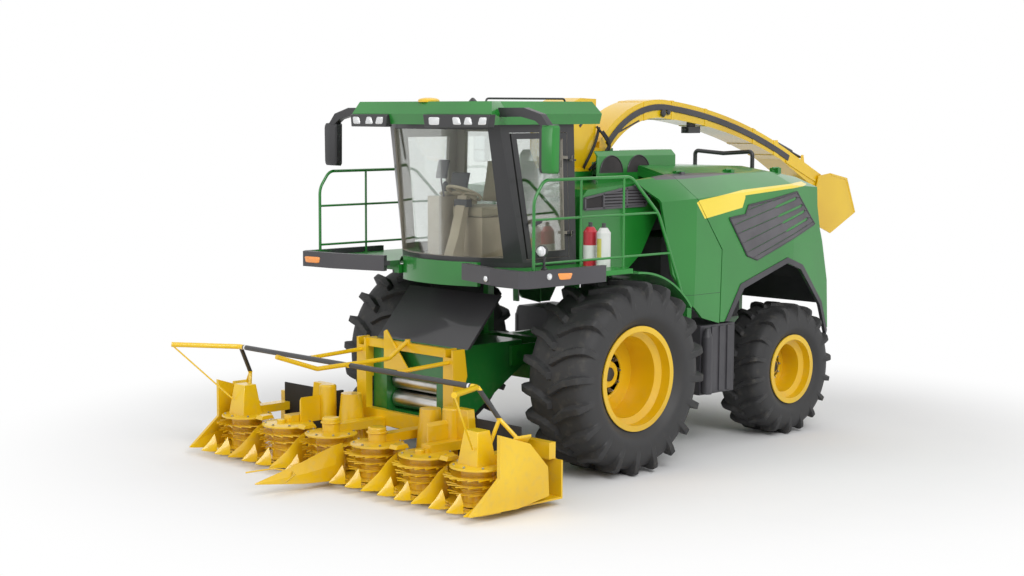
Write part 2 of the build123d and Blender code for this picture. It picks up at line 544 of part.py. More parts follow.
# Body between the cab and the side panels: it carries the spout's collar
HOOD_FRONT_X, HOOD_FRONT_Y = 950, (-1225, 40)
HOOD_FRONT_SIDE = [(HOOD_FRONT_Y[0], CAB_BEAM_TOP), (HOOD_FRONT_Y[0], 2911), (-1150, 2985), (HOOD_FRONT_Y[1], 3060),
                   (HOOD_FRONT_Y[1], 2700), (-250, 2250), (-600, 2000), (-1000, 2000), (-1000, CAB_BEAM_TOP)]
HOOD_FRONT_BORE = [(HOOD_FRONT_Y[0] + PANEL, 1900), (HOOD_FRONT_Y[0] + PANEL, 2895), (-1140, 2955),
                   (HOOD_FRONT_Y[1] - PANEL, 3025), (HOOD_FRONT_Y[1] - PANEL, 2730), (-270, 2280), (-580, 1900)]
with BuildPart() as hood_front:
    add(side_prism(HOOD_FRONT_SIDE, -HOOD_FRONT_X, HOOD_FRONT_X))
    add(side_prism(HOOD_FRONT_BORE, -HOOD_FRONT_X + PANEL, HOOD_FRONT_X - PANEL), mode=Mode.SUBTRACT)
    add(rod((0, TURRET_Y, 3000), (0, TURRET_Y, COLLAR_TOP_Z), TURRET_R))
    add(rod((0, TURRET_Y, 2950), (0, TURRET_Y, COLLAR_TOP_Z), TURRET_R - 60), mode=Mode.SUBTRACT)
finish_part("hood_front", hood_front.part)

# Panels of the rear body, split where the real ones meet
FRONT_PANEL_SIDE = [(-640, 3250), (-290, 2862), (-150, 2030), (40, 1700), (245, 1520), (SEAM_LOW_Y + 8, 1437),
                    (SEAM_LOW_Y, BODY_BELT_Z), (SEAM_Y, 2864), (SEAM_Y, 3250)]
ARCH = [(721, 1449), (970, 1804), (1780, 2051), (2060, 1960), (2520, 1500), (2720, 1067)]
DOOR_SIDE = ([(SEAM_Y + GAP, 3250), (SEAM_Y + GAP, 2864 + GAP), (SEAM_LOW_Y + 12, BODY_BELT_Z + GAP),
              (SEAM_LOW_Y + 22, 1449)] + ARCH + [(2760, 1067), (2670, 1790), (2470, 2418), (2425, 2700), (2425, 3250)])
with BuildPart() as front_side_panels:
    add(body_form(0))
    add(body_form(PANEL), mode=Mode.SUBTRACT)
    with BuildPart(mode=Mode.PRIVATE) as region:
        add(side_prism(FRONT_PANEL_SIDE, HOOD_EDGE_X + GAP, 1600))
        add(side_prism(FRONT_PANEL_SIDE, -1600, -HOOD_EDGE_X - GAP))
    add(region.part, mode=Mode.INTERSECT)
finish_part("front_side_panels", front_side_panels.part)

INTAKE_Y, INTAKE_X, INTAKE_TOP = (-420, 710), 590, 3400
with BuildPart() as hood_top:
    add(body_form(0))
    add(body_form(PANEL), mode=Mode.SUBTRACT)
    add(block((-HOOD_EDGE_X, HOOD_EDGE_X), (50, 2420), (2950, 3400)), mode=Mode.INTERSECT)
    for side_name, side in SIDES:
        pin_x = side * PANEL_HINGE_X
        for y in PANEL_HINGE_YS:
            add(block(sorted((side * (PANEL_HINGE_X - 43), pin_x)), (y - BARREL_LEN, y - FIT),
                      (PANEL_HINGE_Z - 90, PANEL_HINGE_Z + 4)))
            add(rod((pin_x, y - BARREL_LEN, PANEL_HINGE_Z), (pin_x, y - FIT, PANEL_HINGE_Z), PANEL_BARREL_R))
            add(rod((pin_x, y - 5, PANEL_HINGE_Z), (pin_x, y + BARREL_LEN, PANEL_HINGE_Z), PANEL_PIN_R))
finish_part("hood_top", hood_top.part)

for side_name, side in SIDES:
    with BuildPart() as side_door:
        add(body_form(0))
        add(body_form(PANEL), mode=Mode.SUBTRACT)
        add(side_prism(DOOR_SIDE, *sorted((side * (HOOD_EDGE_X + GAP), side * 1600))), mode=Mode.INTERSECT)
        pin_x = side * PANEL_HINGE_X
        for y in PANEL_HINGE_YS:
            add(block(sorted((pin_x, side * (PANEL_HINGE_X + 37))), (y, y + BARREL_LEN),
                      (PANEL_HINGE_Z - 90, PANEL_HINGE_Z + 4)))
            add(rod((pin_x, y, PANEL_HINGE_Z), (pin_x, y + BARREL_LEN, PANEL_HINGE_Z), PANEL_BARREL_R))
            add(rod((pin_x, y - 1, PANEL_HINGE_Z), (pin_x, y + BARREL_LEN + 1, PANEL_HINGE_Z), PANEL_PIN_R + FIT),
                mode=Mode.SUBTRACT)
    finish_part(f"side_door_{side_name}", side_door.part)

REAR_SIDE = [(2400, 3250), (2400, 2700), (2445, 2418), (2645, 1790), (2690, 1500), (2660, 1500), (2615, 1790),
             (2415, 2418), (2370, 2700), (2370, 3250)]
with BuildPart() as rear_panel:
    add(side_prism(REAR_SIDE, -1500, 1500))
    add(body_form(PANEL + 2 * GAP), mode=Mode.INTERSECT)
    with BuildPart(mode=Mode.PRIVATE) as top_flange:
        add(body_form(PANEL + FIT))
        add(block((-900, 900), (2370, 2400), (2900, 3300)), mode=Mode.INTERSECT)
    add(top_flange.part)
finish_part("rear_panel", rear_panel.part)

# Spout cradle on the hood
with BuildPart() as spout_cradle:
    add(bar([(-450, 2380, 3050), (-450, 2380, 3330), (0, 2380, 3300), (450, 2380, 3330), (450, 2380, 3050)], 26, 50))
    add(body_form(-FIT), mode=Mode.SUBTRACT)
finish_part("spout_cradle", spout_cradle.part)

# Spout: turret, arm and end flap
with BuildPart() as spout_turret:
    add(rod((0, TURRET_Y, COLLAR_TOP_Z + FIT), (0, TURRET_Y, COLLAR_TOP_Z + 40), TURRET_R - 10))
    add(rod((0, TURRET_Y, 3000), (0, TURRET_Y, COLLAR_TOP_Z + 20), TURRET_R - 60 - FIT))
    add(side_prism([(TURRET_Y - 340, 3400), (TURRET_Y - 340, 3860), (TURRET_Y - 40, 3975), (TURRET_Y + 220, 3965),
                    (TURRET_Y + 220, 3560), (TURRET_Y + 150, COLLAR_TOP_Z + 30), (TURRET_Y - 230, COLLAR_TOP_Z + 30)],
                   -250, 250))
    for side_name, side in SIDES:
        add(block(sorted((side * (SPOUT_HALF_W + 12), side * 250)), (TURRET_Y + 140, SPOUT_PIN_Y + 60),
                  (SPOUT_PIN_Z - 80, SPOUT_PIN_Z + 80)))
    add(rod((-255, SPOUT_PIN_Y, SPOUT_PIN_Z), (255, SPOUT_PIN_Y, SPOUT_PIN_Z), SPOUT_PIN_R + FIT),
        mode=Mode.SUBTRACT)
finish_part("spout_turret", spout_turret.part)

with BuildPart() as spout_arm:
    with BuildSketch(Plane.YZ.offset(-SPOUT_HALF_W)):
        with BuildLine():
            ThreePointArc((-140, 3480), (380, 3860), (1005, 3959))
            ThreePointArc((1005, 3959), (2247, 3742), (3498, 3302))
            Line((3498, 3302), (4190, 2990))
            Line((4190, 2990), (4110, 2790))
            Line((4110, 2790), (3288, 3215))
            ThreePointArc((3288, 3215), (2055, 3590), (919, 3746))
            ThreePointArc((919, 3746), (350, 3620), (-60, 3250))
            Line((-60, 3250), (-140, 3250))
            Line((-140, 3250), (-140, 3480))
        make_face()
    extrude(amount=2 * SPOUT_HALF_W)
    for side_name, side in SIDES:
        add(rod((side * (SPOUT_HALF_W - 20), SPOUT_PIN_Y, SPOUT_PIN_Z), (side * 255, SPOUT_PIN_Y, SPOUT_PIN_Z), SPOUT_PIN_R))
        add(rod((side * (SPOUT_HALF_W - 20), FLAP_PIN_Y, FLAP_PIN_Z), (side * 232, FLAP_PIN_Y, FLAP_PIN_Z),
                FLAP_PIN_R))
finish_part("spout_arm", spout_arm.part)

with BuildPart() as spout_flap:
    with BuildPart(mode=Mode.PRIVATE) as flap_bore:
        add(side_prism([(3700, 2700), (4050, 3060), (4300, 3110), (4700, 2890), (4910, 2440), (4600, 2200),
                        (4381, 2100), (3700, 2150)], -216, 216))
    add(side_prism([(3990, 2640), (4090, 2980), (4350, 3010), (4735, 2935), (4943, 2471), (4381, 2214), (4150, 2300)],
                   -232, 232))
    add(flap_bore.part, mode=Mode.SUBTRACT)
    add(rod((-240, FLAP_PIN_Y, FLAP_PIN_Z), (240, FLAP_PIN_Y, FLAP_PIN_Z), FLAP_PIN_R + FIT), mode=Mode.SUBTRACT)
finish_part("spout_flap", spout_flap.part)

# Feeder housing: side plates, deck and floor, the green front frame and the dark guard above it
with BuildPart() as feeder_housing:
    side_view = [(FEEDER_FRONT_Y + 100, FEEDER_LOW_Z + 60), (FEEDER_FRONT_Y + 100, FEEDER_TOP_Z),
                 (FEEDER_BACK_Y, FEEDER_TOP_Z), (FEEDER_BACK_Y, 1060), (-2300, 620)]
    bore_view = [(FEEDER_FRONT_Y, FEEDER_LOW_Z + 80), (FEEDER_FRONT_Y, MOUTH_TOP_Z), (-2400, 1180),
                 (FEEDER_BACK_Y + 50, FEEDER_TOP_Z - 20), (FEEDER_BACK_Y + 50, 1080), (-2300, 640)]
    add(side_prism(side_view, -FEEDER_OUT, FEEDER_OUT))
    add(side_prism(bore_view, -FEEDER_IN, FEEDER_IN), mode=Mode.SUBTRACT)
    for side_name, side in SIDES:
        add(block(sorted((side * 400, side * FEEDER_LEG_X)), (FEEDER_FRONT_Y, FEEDER_FRONT_Y + 100), (FEEDER_LOW_Z, FEEDER_TOP_Z)))
        add(rod((side * (FEEDER_OUT - 20), LIFT_PIN_Y, LIFT_PIN_Z), (side * CHEEK_OUT, LIFT_PIN_Y, LIFT_PIN_Z), LIFT_PIN_R))
    add(block((-400, 400), (FEEDER_FRONT_Y, FEEDER_FRONT_Y + 100), (MOUTH_TOP_Z, FEEDER_TOP_Z)))
    add(block((-400, 400), (FEEDER_FRONT_Y, FEEDER_FRONT_Y + 100), (FEEDER_LOW_Z, FEEDER_LOW_Z + 40)))
    add(side_prism([(-2160, 1889), (-2620, 1370), (-2640, FEEDER_TOP_Z), (-2600, FEEDER_TOP_Z), (-2585, 1365),
                    (-2140, 1875)], -800, 650))
    for name, z in ROLLER_ZS:
        add(rod((-FEEDER_OUT - 5, ROLLER_Y, z), (FEEDER_OUT + 5, ROLLER_Y, z), 25 + FIT), mode=Mode.SUBTRACT)
        add(rod((-FEEDER_IN, ROLLER_Y, z), (FEEDER_IN, ROLLER_Y, z), ROLLER_R + 10), mode=Mode.SUBTRACT)
finish_part("feeder_housing", feeder_housing.part)

for name, z in ROLLER_ZS:
    with BuildPart() as roller:
        add(rod((-FEEDER_IN + 5, ROLLER_Y, z), (FEEDER_IN - 5, ROLLER_Y, z), ROLLER_R))
        add(rod((-FEEDER_OUT, ROLLER_Y, z), (FEEDER_OUT, ROLLER_Y, z), 25))
    finish_part(f"feed_roller_{name}", roller.part)

# Header frame: back beam, towers, pan, rotor covers on their arms, end shields and guide bars
ROTOR_XS = [ROW_PITCH * (i - (ROTORS - 1) / 2) for i in range(ROTORS)]
with BuildPart() as header_frame:
    add(block((-2150, 2150), (BEAM_FRONT_Y, BEAM_BACK_Y), (BEAM_LOW_Z, BEAM_TOP_Z)))
    add(block((-2250, 2250), (BEAM_BACK_Y - 20, BEAM_BACK_Y), (PAN_Z, BEAM_LOW_Z)))
    add(block((-2250, 2250), (ROTOR_Y - 270, BEAM_BACK_Y), (PAN_Z, PAN_Z + PAN_T)))
    add(block((-390, 390), (BEAM_BACK_Y - 30, BEAM_BACK_Y + 5), (PAN_Z + PAN_T, 960)), mode=Mode.SUBTRACT)
    for side_name, side in SIDES:
        add(rod((side * DRUM_X, DRUM_Y, PAN_Z), (side * DRUM_X, DRUM_Y, PAN_Z + 170), DRUM_PIN_R))
        add(side_prism([(BEAM_FRONT_Y, BEAM_LOW_Z), (BEAM_FRONT_Y, 900), (-2960, 1383), (-2800, 1383), (-2760, 1100),
                        (-2800, 980), (-2870, 950), (-2870, BEAM_LOW_Z)], *sorted((side * (FEEDER_LEG_X + FIT), side * 655))))
        add(side_prism([(BEAM_FRONT_Y, BEAM_LOW_Z), (BEAM_FRONT_Y, 900), (-2960, 1383), (-2800, 1383), (-2760, 1100),
                        (-2800, 980), (-2870, 950), (-2870, BEAM_LOW_Z)], *sorted((side * 745, side * 775))))
        add(block(sorted((side * 655, side * 745)), (-2960, -2930), (BEAM_TOP_Z, 1300)))
        add(side_prism([(-4150, 90), (-3768, 400), (-3768, 815), (-3367, 686), (-3118, 428), (-3101, 140), (-3524, 78)],
                       *sorted((side * 2250, side * HEADER_HALF_W))))
    for x in ROTOR_XS:
        add(rod((x, ROTOR_Y, COVER_Z), (x, ROTOR_Y, COVER_Z + COVER_T), COVER_R))
        add(rod((x, ROTOR_Y, COVER_Z - 90), (x, ROTOR_Y, COVER_Z + 70), 40))
        add(block((x - 70, x + 70), (ROTOR_Y, BEAM_FRONT_Y), (COVER_Z + COVER_T, BEAM_LOW_Z + 90)))
    add(block((-655, 655), (-2930, -2870), (1290, 1383)))
    add(rod((0, -2900, 1340), (0, -2900, 1420), 30))
finish_part("header_frame", header_frame.part)

# Guide bars that lean the tall crop forwards, on their posts and on the long tube in the middle
with BuildPart() as header_guides:
    add(bar([(-2295, -4361, 1265), (-1912, -3707, 1220), (1912, -3707, 1220), (2295, -4361, 1265)], 28, 60))
    for side_name, side in SIDES:
        add(rod((side * 1912, -3700, 1220), (side * 2007, -3499, 902), 24))
        add(rod((side * 2007, -3499, 902), (side * 1900, -3600, 500), 20))
        add(rod((side * 2007, -3499, 902), (side * 2262, -3400, 650), 20))
        add(rod((side * 2295, -4361, 1265), (side * 1941, -3792, 634), 9))
        add(rod((side * 700, -3707, 1220), (side * 700, -2960, 1250), 22))
    add(bar([(0, -4641, 1398), (0, -4127, 1226), (0, -3166, 1239), (0, -2900, 1400)], 24, 60))
    add(header_frame.part, mode=Mode.SUBTRACT)
finish_part("header_guides", header_guides.part)

# Row points: a big one in the middle, long ones between the rotors, two small ones before each rotor
TIP_Y, TIP_Z = -4184, 98
with BuildPart() as header_dividers:
    def pointed(x, tip_y, tip_z, back_y, half_w, low_z, high_z):
        """A row point: a rectangle at the back narrowed to a small tip."""
        with BuildPart() as made:
            with BuildSketch(Plane.XZ.offset(-back_y)):
                with Locations((x, (low_z + high_z) / 2)):
                    Rectangle(2 * half_w, high_z - low_z)
            with BuildSketch(Plane.XZ.offset(-tip_y)):
                with Locations((x, tip_z)):
                    Rectangle(16, 16)
            loft(ruled=True)
        return made.part
    for x in ROTOR_XS:
        for offset in (-125, 125):
            add(pointed(x + offset, TIP_Y, TIP_Z, ROTOR_Y - ROTOR_R - 5, 45, 62, 260))
            add(block((x + offset - 30, x + offset + 30), (ROTOR_Y - ROTOR_R - 10, ROTOR_Y - 260), (56, PAN_Z)))
    for x in (-1500, -750, 750, 1500):
        add(pointed(x, TIP_Y, TIP_Z, -3700, 70, 56, 420))
    for side_name, side in SIDES:
        add(pointed(side * 2235, TIP_Y, TIP_Z, -3700, 14, 56, 260))
    add(pointed(0, -4925, 150, -3800, 110, 60, 420))
    for x in ROTOR_XS:
        add(rod((x, ROTOR_Y, PAN_Z), (x, ROTOR_Y, COVER_Z - 20), ROTOR_R + 8), mode=Mode.SUBTRACT)
    add(block((-2250, 2250), (ROTOR_Y - 270, BEAM_BACK_Y), (PAN_Z, PAN_Z + PAN_T)), mode=Mode.SUBTRACT)
finish_part("header_dividers", header_dividers.part)

for number, x in enumerate(ROTOR_XS, 1):
    with BuildPart() as rotor:
        add(rod((x, ROTOR_Y, PAN_Z + PAN_T + 10), (x, ROTOR_Y, COVER_Z - 10), 170))
        for z, r in ((105, 300), (200, 290), (280, 290), (355, ROTOR_R)):
            add(rod((x, ROTOR_Y, z), (x, ROTOR_Y, z + 12), r))
        add(rod((x, ROTOR_Y, COVER_Z - 92), (x, ROTOR_Y, COVER_Z), 40 + FIT), mode=Mode.SUBTRACT)
    finish_part(f"rotor_{number}", rotor.part)

for side_name, side in SIDES:
    with BuildPart() as drum:
        add(spun((side * DRUM_X, DRUM_Y, PAN_Z + PAN_T), [(DRUM_PIN_R + FIT, 10), (170, 10), (170, 60), (110, 700),
                                                            (0, 700), (0, 160), (DRUM_PIN_R + FIT, 160)]))
    finish_part(f"feed_drum_{side_name}", drum.part)

os.makedirs("parts", exist_ok=True)
for part in parts:
    export_step(part, f"parts/{part.label}.step")
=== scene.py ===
# %% [markdown]
# A forage harvester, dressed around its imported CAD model. The CAD holds every piece that has a
# real size: wheels, cab, panels, spout, feeder and the rotary header. This file gives those
# pieces their paint, rubber, glass and cloth, and adds what is too fine for the CAD: bolts,
# lamp lenses, louvres, seams, stripes and hoses. Every length is in metres and the
# machine stands in the CAD's own frame: it faces -Y, its left side is +X and the floor is Z = 0.

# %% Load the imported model
from math import cos, pi, radians, sin

import bmesh
import bpy
import numpy as np
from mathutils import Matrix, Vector


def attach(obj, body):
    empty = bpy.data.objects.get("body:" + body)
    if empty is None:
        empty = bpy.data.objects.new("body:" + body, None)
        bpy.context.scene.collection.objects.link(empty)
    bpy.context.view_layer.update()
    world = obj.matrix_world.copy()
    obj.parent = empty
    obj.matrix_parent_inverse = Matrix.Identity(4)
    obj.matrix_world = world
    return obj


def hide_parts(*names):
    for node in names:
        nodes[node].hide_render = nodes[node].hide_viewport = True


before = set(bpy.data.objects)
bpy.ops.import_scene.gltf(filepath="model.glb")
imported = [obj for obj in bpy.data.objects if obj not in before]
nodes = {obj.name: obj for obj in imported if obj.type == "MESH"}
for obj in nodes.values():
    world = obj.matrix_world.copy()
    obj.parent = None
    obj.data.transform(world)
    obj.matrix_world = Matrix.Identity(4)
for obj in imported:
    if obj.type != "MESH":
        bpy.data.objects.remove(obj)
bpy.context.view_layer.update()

# %% [markdown]
# The camera is solved from the photograph: the ellipses of the four rims and the even spacing of
# the header's row points fix where it stands and how it looks. It could be placed by eye, but a
# solved camera lets every crop of the render lie over the same crop of the photograph. The small
# shift only moves the frame, as the photograph was cropped off centre.

# %% Camera
CAMERA_PLACE = (13.629, -14.909, 3.848)
CAMERA_LOOK = (-0.7376, 0.66526, -0.11567)
camera_data = bpy.data.cameras.new("studio_camera")
camera_data.sensor_width = 36.0
camera_data.lens = 60.6
camera_data.shift_x = 0.0825
camera_data.shift_y = 0.0215
camera_data.clip_end = 300.0
camera = bpy.data.objects.new("studio_camera", camera_data)
camera.location = CAMERA_PLACE
camera.rotation_euler = Vector(CAMERA_LOOK).to_track_quat("-Z", "Y").to_euler()
bpy.context.scene.collection.objects.link(camera)
bpy.context.scene.camera = camera
bpy.context.scene.view_settings.view_transform = "Standard"
print("camera at", CAMERA_PLACE, "with a lens of", camera_data.lens, "mm")

# %% [markdown]
# Shader maths reads best as plain expressions. A Signal wraps one output socket, and arithmetic
# on it adds the Math node that works the result out. Colours are written as the six figures of
# screen colour, which node() turns into the linear colour that shaders need.


# %% Shader maths as expressions
def tone(hex_code):
    """A linear colour from the usual six figures of screen colour."""
    screen = np.array([int(hex_code[i:i + 2], 16) for i in (0, 2, 4)]) / 255.0
    linear = np.where(screen <= 0.04045, screen / 12.92, ((screen + 0.055) / 1.055) ** 2.4)
    return (*(float(v) for v in linear), 1.0)


class Signal:
    """One output of a shader node. Arithmetic on it adds the Math node for that step."""

    def __init__(self, finish, socket):
        self.finish = finish
        self.socket = socket

    def math(self, operation, first, second=0.0):
        return self.finish.node("Math", {"operation": operation}, {0: first, 1: second})

    def __add__(self, other):
        return self.math("ADD", self, other)

    def __radd__(self, other):
        return self.math("ADD", other, self)

    def __sub__(self, other):
        return self.math("SUBTRACT", self, other)

    def __rsub__(self, other):
        return self.math("SUBTRACT", other, self)

    def __mul__(self, other):
        return self.math("MULTIPLY", self, other)

    def __rmul__(self, other):
        return self.math("MULTIPLY", other, self)

    def __gt__(self, other):
        return self.math("GREATER_THAN", self, other)

    def __lt__(self, other):
        return self.math("LESS_THAN", self, other)

    def __abs__(self):
        return self.math("ABSOLUTE", self)

    def either(self, other):
        """The larger of two signals."""
        return self.math("MAXIMUM", self, other)


# %% [markdown]
# A Finish is a material in the making: node() adds any node with its settings and inputs, and a
# few named methods hold what all finishes share.


# %% Materials in the making
class Finish:
    """A material in the making."""

    def __init__(self, name):
        self.material = bpy.data.materials.new(name)
        self.material.use_nodes = True
        self.tree = self.material.node_tree
        self.tree.nodes.clear()
        self.here = self.node("TexCoord", output="Object")
        self.parts = None

    def node(self, kind, settings=None, inputs=None, output=0):
        """Adds one node: its settings first, then a value, a colour or a Signal for each input."""
        made = self.tree.nodes.new("ShaderNode" + kind)
        for name, value in (settings or {}).items():
            setattr(made, name, value)
        for name, value in (inputs or {}).items():
            if isinstance(value, Signal):
                self.tree.links.new(value.socket, made.inputs[name])
            else:
                made.inputs[name].default_value = tone(value) if isinstance(value, str) else value
        return Signal(self, made.outputs[output]) if len(made.outputs) else made

    def vector(self, operation, first, second=(0, 0, 0), output=0):
        """Vector Math; lengths and dot products come from the output Value."""
        return self.node("VectorMath", {"operation": operation}, {0: first, 1: second}, output)

    def axis(self, letter):
        """The place along X, Y or Z in the machine's frame; A is the distance from its middle plane."""
        if self.parts is None:
            self.parts = {axis: self.node("SeparateXYZ", inputs={0: self.here}, output=axis)
                          for axis in "XYZ"}
        return abs(self.parts["X"]) if letter == "A" else self.parts[letter]

    def noise(self, scale, detail=3.0, stretch=None):
        """Soft random values from 0 to 1, scale of them to the metre, stretched along the axes."""
        where = self.vector("MULTIPLY", self.here, stretch) if stretch else self.here
        return self.node("TexNoise", inputs={"Vector": where, "Scale": scale, "Detail": detail})

    def waves(self, letter, scale):
        """Even waves from 0 to 1 along one axis."""
        return self.node("TexWave", {"bands_direction": letter}, {"Vector": self.here, "Scale": scale},
                         output=1)

    def rise(self, value, low, high):
        """0 below low, 1 above high and a smooth step between."""
        return self.node("MapRange", {"interpolation_type": "SMOOTHSTEP"},
                         {"Value": value, "From Min": low, "From Max": high})

    def outline(self, letters, corners, soft=0.0015):
        """1 inside a convex outline whose corners go round against the clock, seen with letters as axes."""
        across, up = (self.axis(letter) for letter in letters)
        inside = None
        for (ax, ay), (bx, by) in zip(corners, corners[1:] + corners[:1]):
            length = ((bx - ax) ** 2 + (by - ay) ** 2) ** 0.5
            nx, ny = (ay - by) / length, (bx - ax) / length
            depth = across * nx + up * ny - (ax * nx + ay * ny)
            step = self.rise(depth, -soft, soft)
            inside = step if inside is None else inside * step
        return inside

    def blend(self, factor, first, second):
        """A colour between two colours."""
        return self.node("Mix", {"data_type": "RGBA"}, {0: factor, 6: first, 7: second}, output=2)

    def bump(self, height, strength, distance):
        """A normal from a height in metres times distance."""
        return self.node("Bump", inputs={"Height": height, "Strength": strength, "Distance": distance})

    def surface(self, **sockets):
        """Ends the material with one Principled shader; underscores in names stand for spaces."""
        shader = self.node("BsdfPrincipled", inputs={k.replace("_", " "): v for k, v in sockets.items()})
        self.node("OutputMaterial", inputs={"Surface": shader})
        print(self.material.name, "has", len(self.tree.nodes), "shader nodes")
        return self.material


# %% [markdown]
# The studio is a pale floor that fades into white, a large soft light above and to the machine's
# left, a weaker one in front, and a white surround. The backdrop could be lit until it burns out,
# but that would also bleach the paint, so the white comes from the colour that camera, mirror and
# glass rays see, and the lamps stay at a level where a colour renders about as it is written.

# %% Studio floor and surround
FLOOR_HALF = 60.0
FADE_START, FADE_END = 4.0, 7.5
AMBIENT_LEVEL = 0.62
WHITE = (1, 1, 1, 1)
floor_mesh = bpy.data.meshes.new("studio_floor")
floor_corners = [(x * FLOOR_HALF, y * FLOOR_HALF, 0) for x, y in ((-1, -1), (1, -1), (1, 1), (-1, 1))]
floor_mesh.from_pydata(floor_corners, [], [(0, 1, 2, 3)])
floor = bpy.data.objects.new("studio_floor", floor_mesh)
bpy.context.scene.collection.objects.link(floor)


def seen_directly(finish):
    """1 for the rays of the camera, of mirrors and of glass."""
    kinds = [finish.node("LightPath", output=f"Is {kind} Ray")
             for kind in ("Camera", "Glossy", "Transmission")]
    return kinds[0].either(kinds[1]).either(kinds[2])


paper = Finish("studio_paper")
paper_shade = paper.blend(paper.noise(1.5), (0.86, 0.86, 0.865, 1), (0.88, 0.88, 0.88, 1))
paper_diffuse = paper.node("BsdfDiffuse", inputs={"Color": paper_shade})
paper_white = paper.node("Emission", inputs={"Color": WHITE, "Strength": 1.0})
distance = paper.vector("LENGTH", paper.here, output="Value")
faded = paper.rise(distance, FADE_START, FADE_END) * seen_directly(paper)
paper_mix = paper.node("MixShader", inputs={0: faded, 1: paper_diffuse, 2: paper_white})
paper.node("OutputMaterial", inputs={"Surface": paper_mix})
floor_mesh.materials.append(paper.material)


class Surround(Finish):
    """The world's own node tree, built with the same method."""

    def __init__(self, world):
        world.use_nodes = True
        self.tree = world.node_tree
        self.tree.nodes.clear()


world = bpy.data.worlds.new("studio_surround")
bpy.context.scene.world = world
surround = Surround(world)
ambient = surround.node("Background", inputs={"Color": WHITE, "Strength": AMBIENT_LEVEL})
white = surround.node("Background", inputs={"Color": WHITE, "Strength": 1.0})
surround_mix = surround.node("MixShader", inputs={0: seen_directly(surround), 1: ambient, 2: white})
surround.node("OutputWorld", inputs={"Surface": surround_mix})


# %% Lights
def soft_light(name, place, aim, size, level):
    """A square light that adds level to a white surface facing it from aim."""
    reach = (Vector(aim) - Vector(place)).length
    data = bpy.data.lights.new(name, "AREA")
    data.size = size
    data.energy = level * pi * pi * reach * reach
    lamp = bpy.data.objects.new(name, data)
    lamp.location = place
    lamp.rotation_euler = (Vector(aim) - Vector(place)).to_track_quat("-Z", "Y").to_euler()
    bpy.context.scene.collection.objects.link(lamp)
    print(name, round(data.energy), "W at", round(reach, 1), "m")


soft_light("key_light", (15.0, -7.0, 13.0), (0.0, 0.0, 1.5), 9.0, 0.42)
soft_light("front_light", (-5.0, -20.0, 9.0), (0.0, -2.0, 1.5), 8.0, 0.16)
soft_light("top_light", (-2.0, 3.0, 16.0), (0.0, 0.0, 2.0), 10.0, 0.16)

# %% [markdown]
# Paint is the look of this machine. Real enamel is one strong colour under a clear gloss, with a
# faint orange peel, and it drifts a little in shade from panel to panel. The finish mixes two
# near shades by soft noise, roughens low down where dust settles, and adds a bump far finer than
# the eye can name. The coat gives the clear gloss, so the colour below may stay deep. Where one
# piece of the CAD carries two colours, such as a dark bumper round a green deck, a patch lays the
# second colour over the first inside a mask that is worked out from the place.

# %% Paint
GREEN, GREEN_DEEP = "23842f", "197426"
YELLOW, YELLOW_DEEP = "f3ca14", "e0b208"
BLACK, BLACK_SOFT = "242426", "303032"
GREY, GREY_DEEP = "5c5a5e", "504e52"
DUST = "a39a86"
DUST_FULL, DUST_NONE = 0.15, 1.4


def enamel(name, light, deep, gloss=0.3, clear=0.5, patches=()):
    """Gloss paint: two near shades, dust towards the floor, a faint orange peel and a clear coat.

    A patch is (mask, light, deep, roughness); its mask is a function of the finish.
    """
    paint = Finish(name)
    drift = paint.rise(paint.noise(0.8, 2.0), 0.3, 0.7)
    colour = paint.blend(drift, light, deep)
    rough = gloss + paint.noise(3.0, 4.0) * 0.08
    for mask_of, patch_light, patch_deep, patch_rough in patches:
        mask = mask_of(paint)
        colour = paint.blend(mask, colour, paint.blend(drift, patch_light, patch_deep))
        rough = rough + (patch_rough - rough) * mask
    low_down = 1.0 - paint.rise(paint.axis("Z"), DUST_FULL, DUST_NONE)
    dust = low_down * paint.rise(paint.noise(14.0, 5.0), 0.45, 0.78) * 0.16
    peel = paint.bump(paint.noise(160.0, 2.0), 0.1, 0.002)
    return paint.surface(Base_Color=paint.blend(dust, colour, DUST), Roughness=rough + dust * 0.9,
                         Coat_Weight=clear, Coat_Roughness=0.08, Normal=peel)


green_paint = enamel("green_enamel", GREEN, GREEN_DEEP)
yellow_paint = enamel("yellow_enamel", YELLOW, YELLOW_DEEP)
black_paint = enamel("black_enamel", BLACK_SOFT, BLACK, gloss=0.38, clear=0.2)

# %% [markdown]
# Moulded plastic, rubber, bare steel and castings share one recipe with other numbers: two near
# shades, a grain and a roughness. One function keeps them alike, and its grain size says which
# one it is: fine for a bumper, coarse for a casting, drawn out along X for a rolled bar.


# %% Plastic, rubber, steel and castings
def matt(name, light, deep, rough, grain, depth, metal=0.0, stretch=None):
    """A matt finish: shade drift, a grain of so many bumps to the metre and a roughness."""
    stuff = Finish(name)
    drift = stuff.rise(stuff.noise(2.5, 4.0), 0.3, 0.7)
    wear = stuff.rise(stuff.noise(9.0, 6.0), 0.55, 0.8)
    return stuff.surface(Base_Color=stuff.blend(drift, light, deep), Metallic=metal,
                         Roughness=rough + wear * 0.12,
                         Normal=stuff.bump(stuff.noise(grain, 3.0, stretch), 0.35, depth))


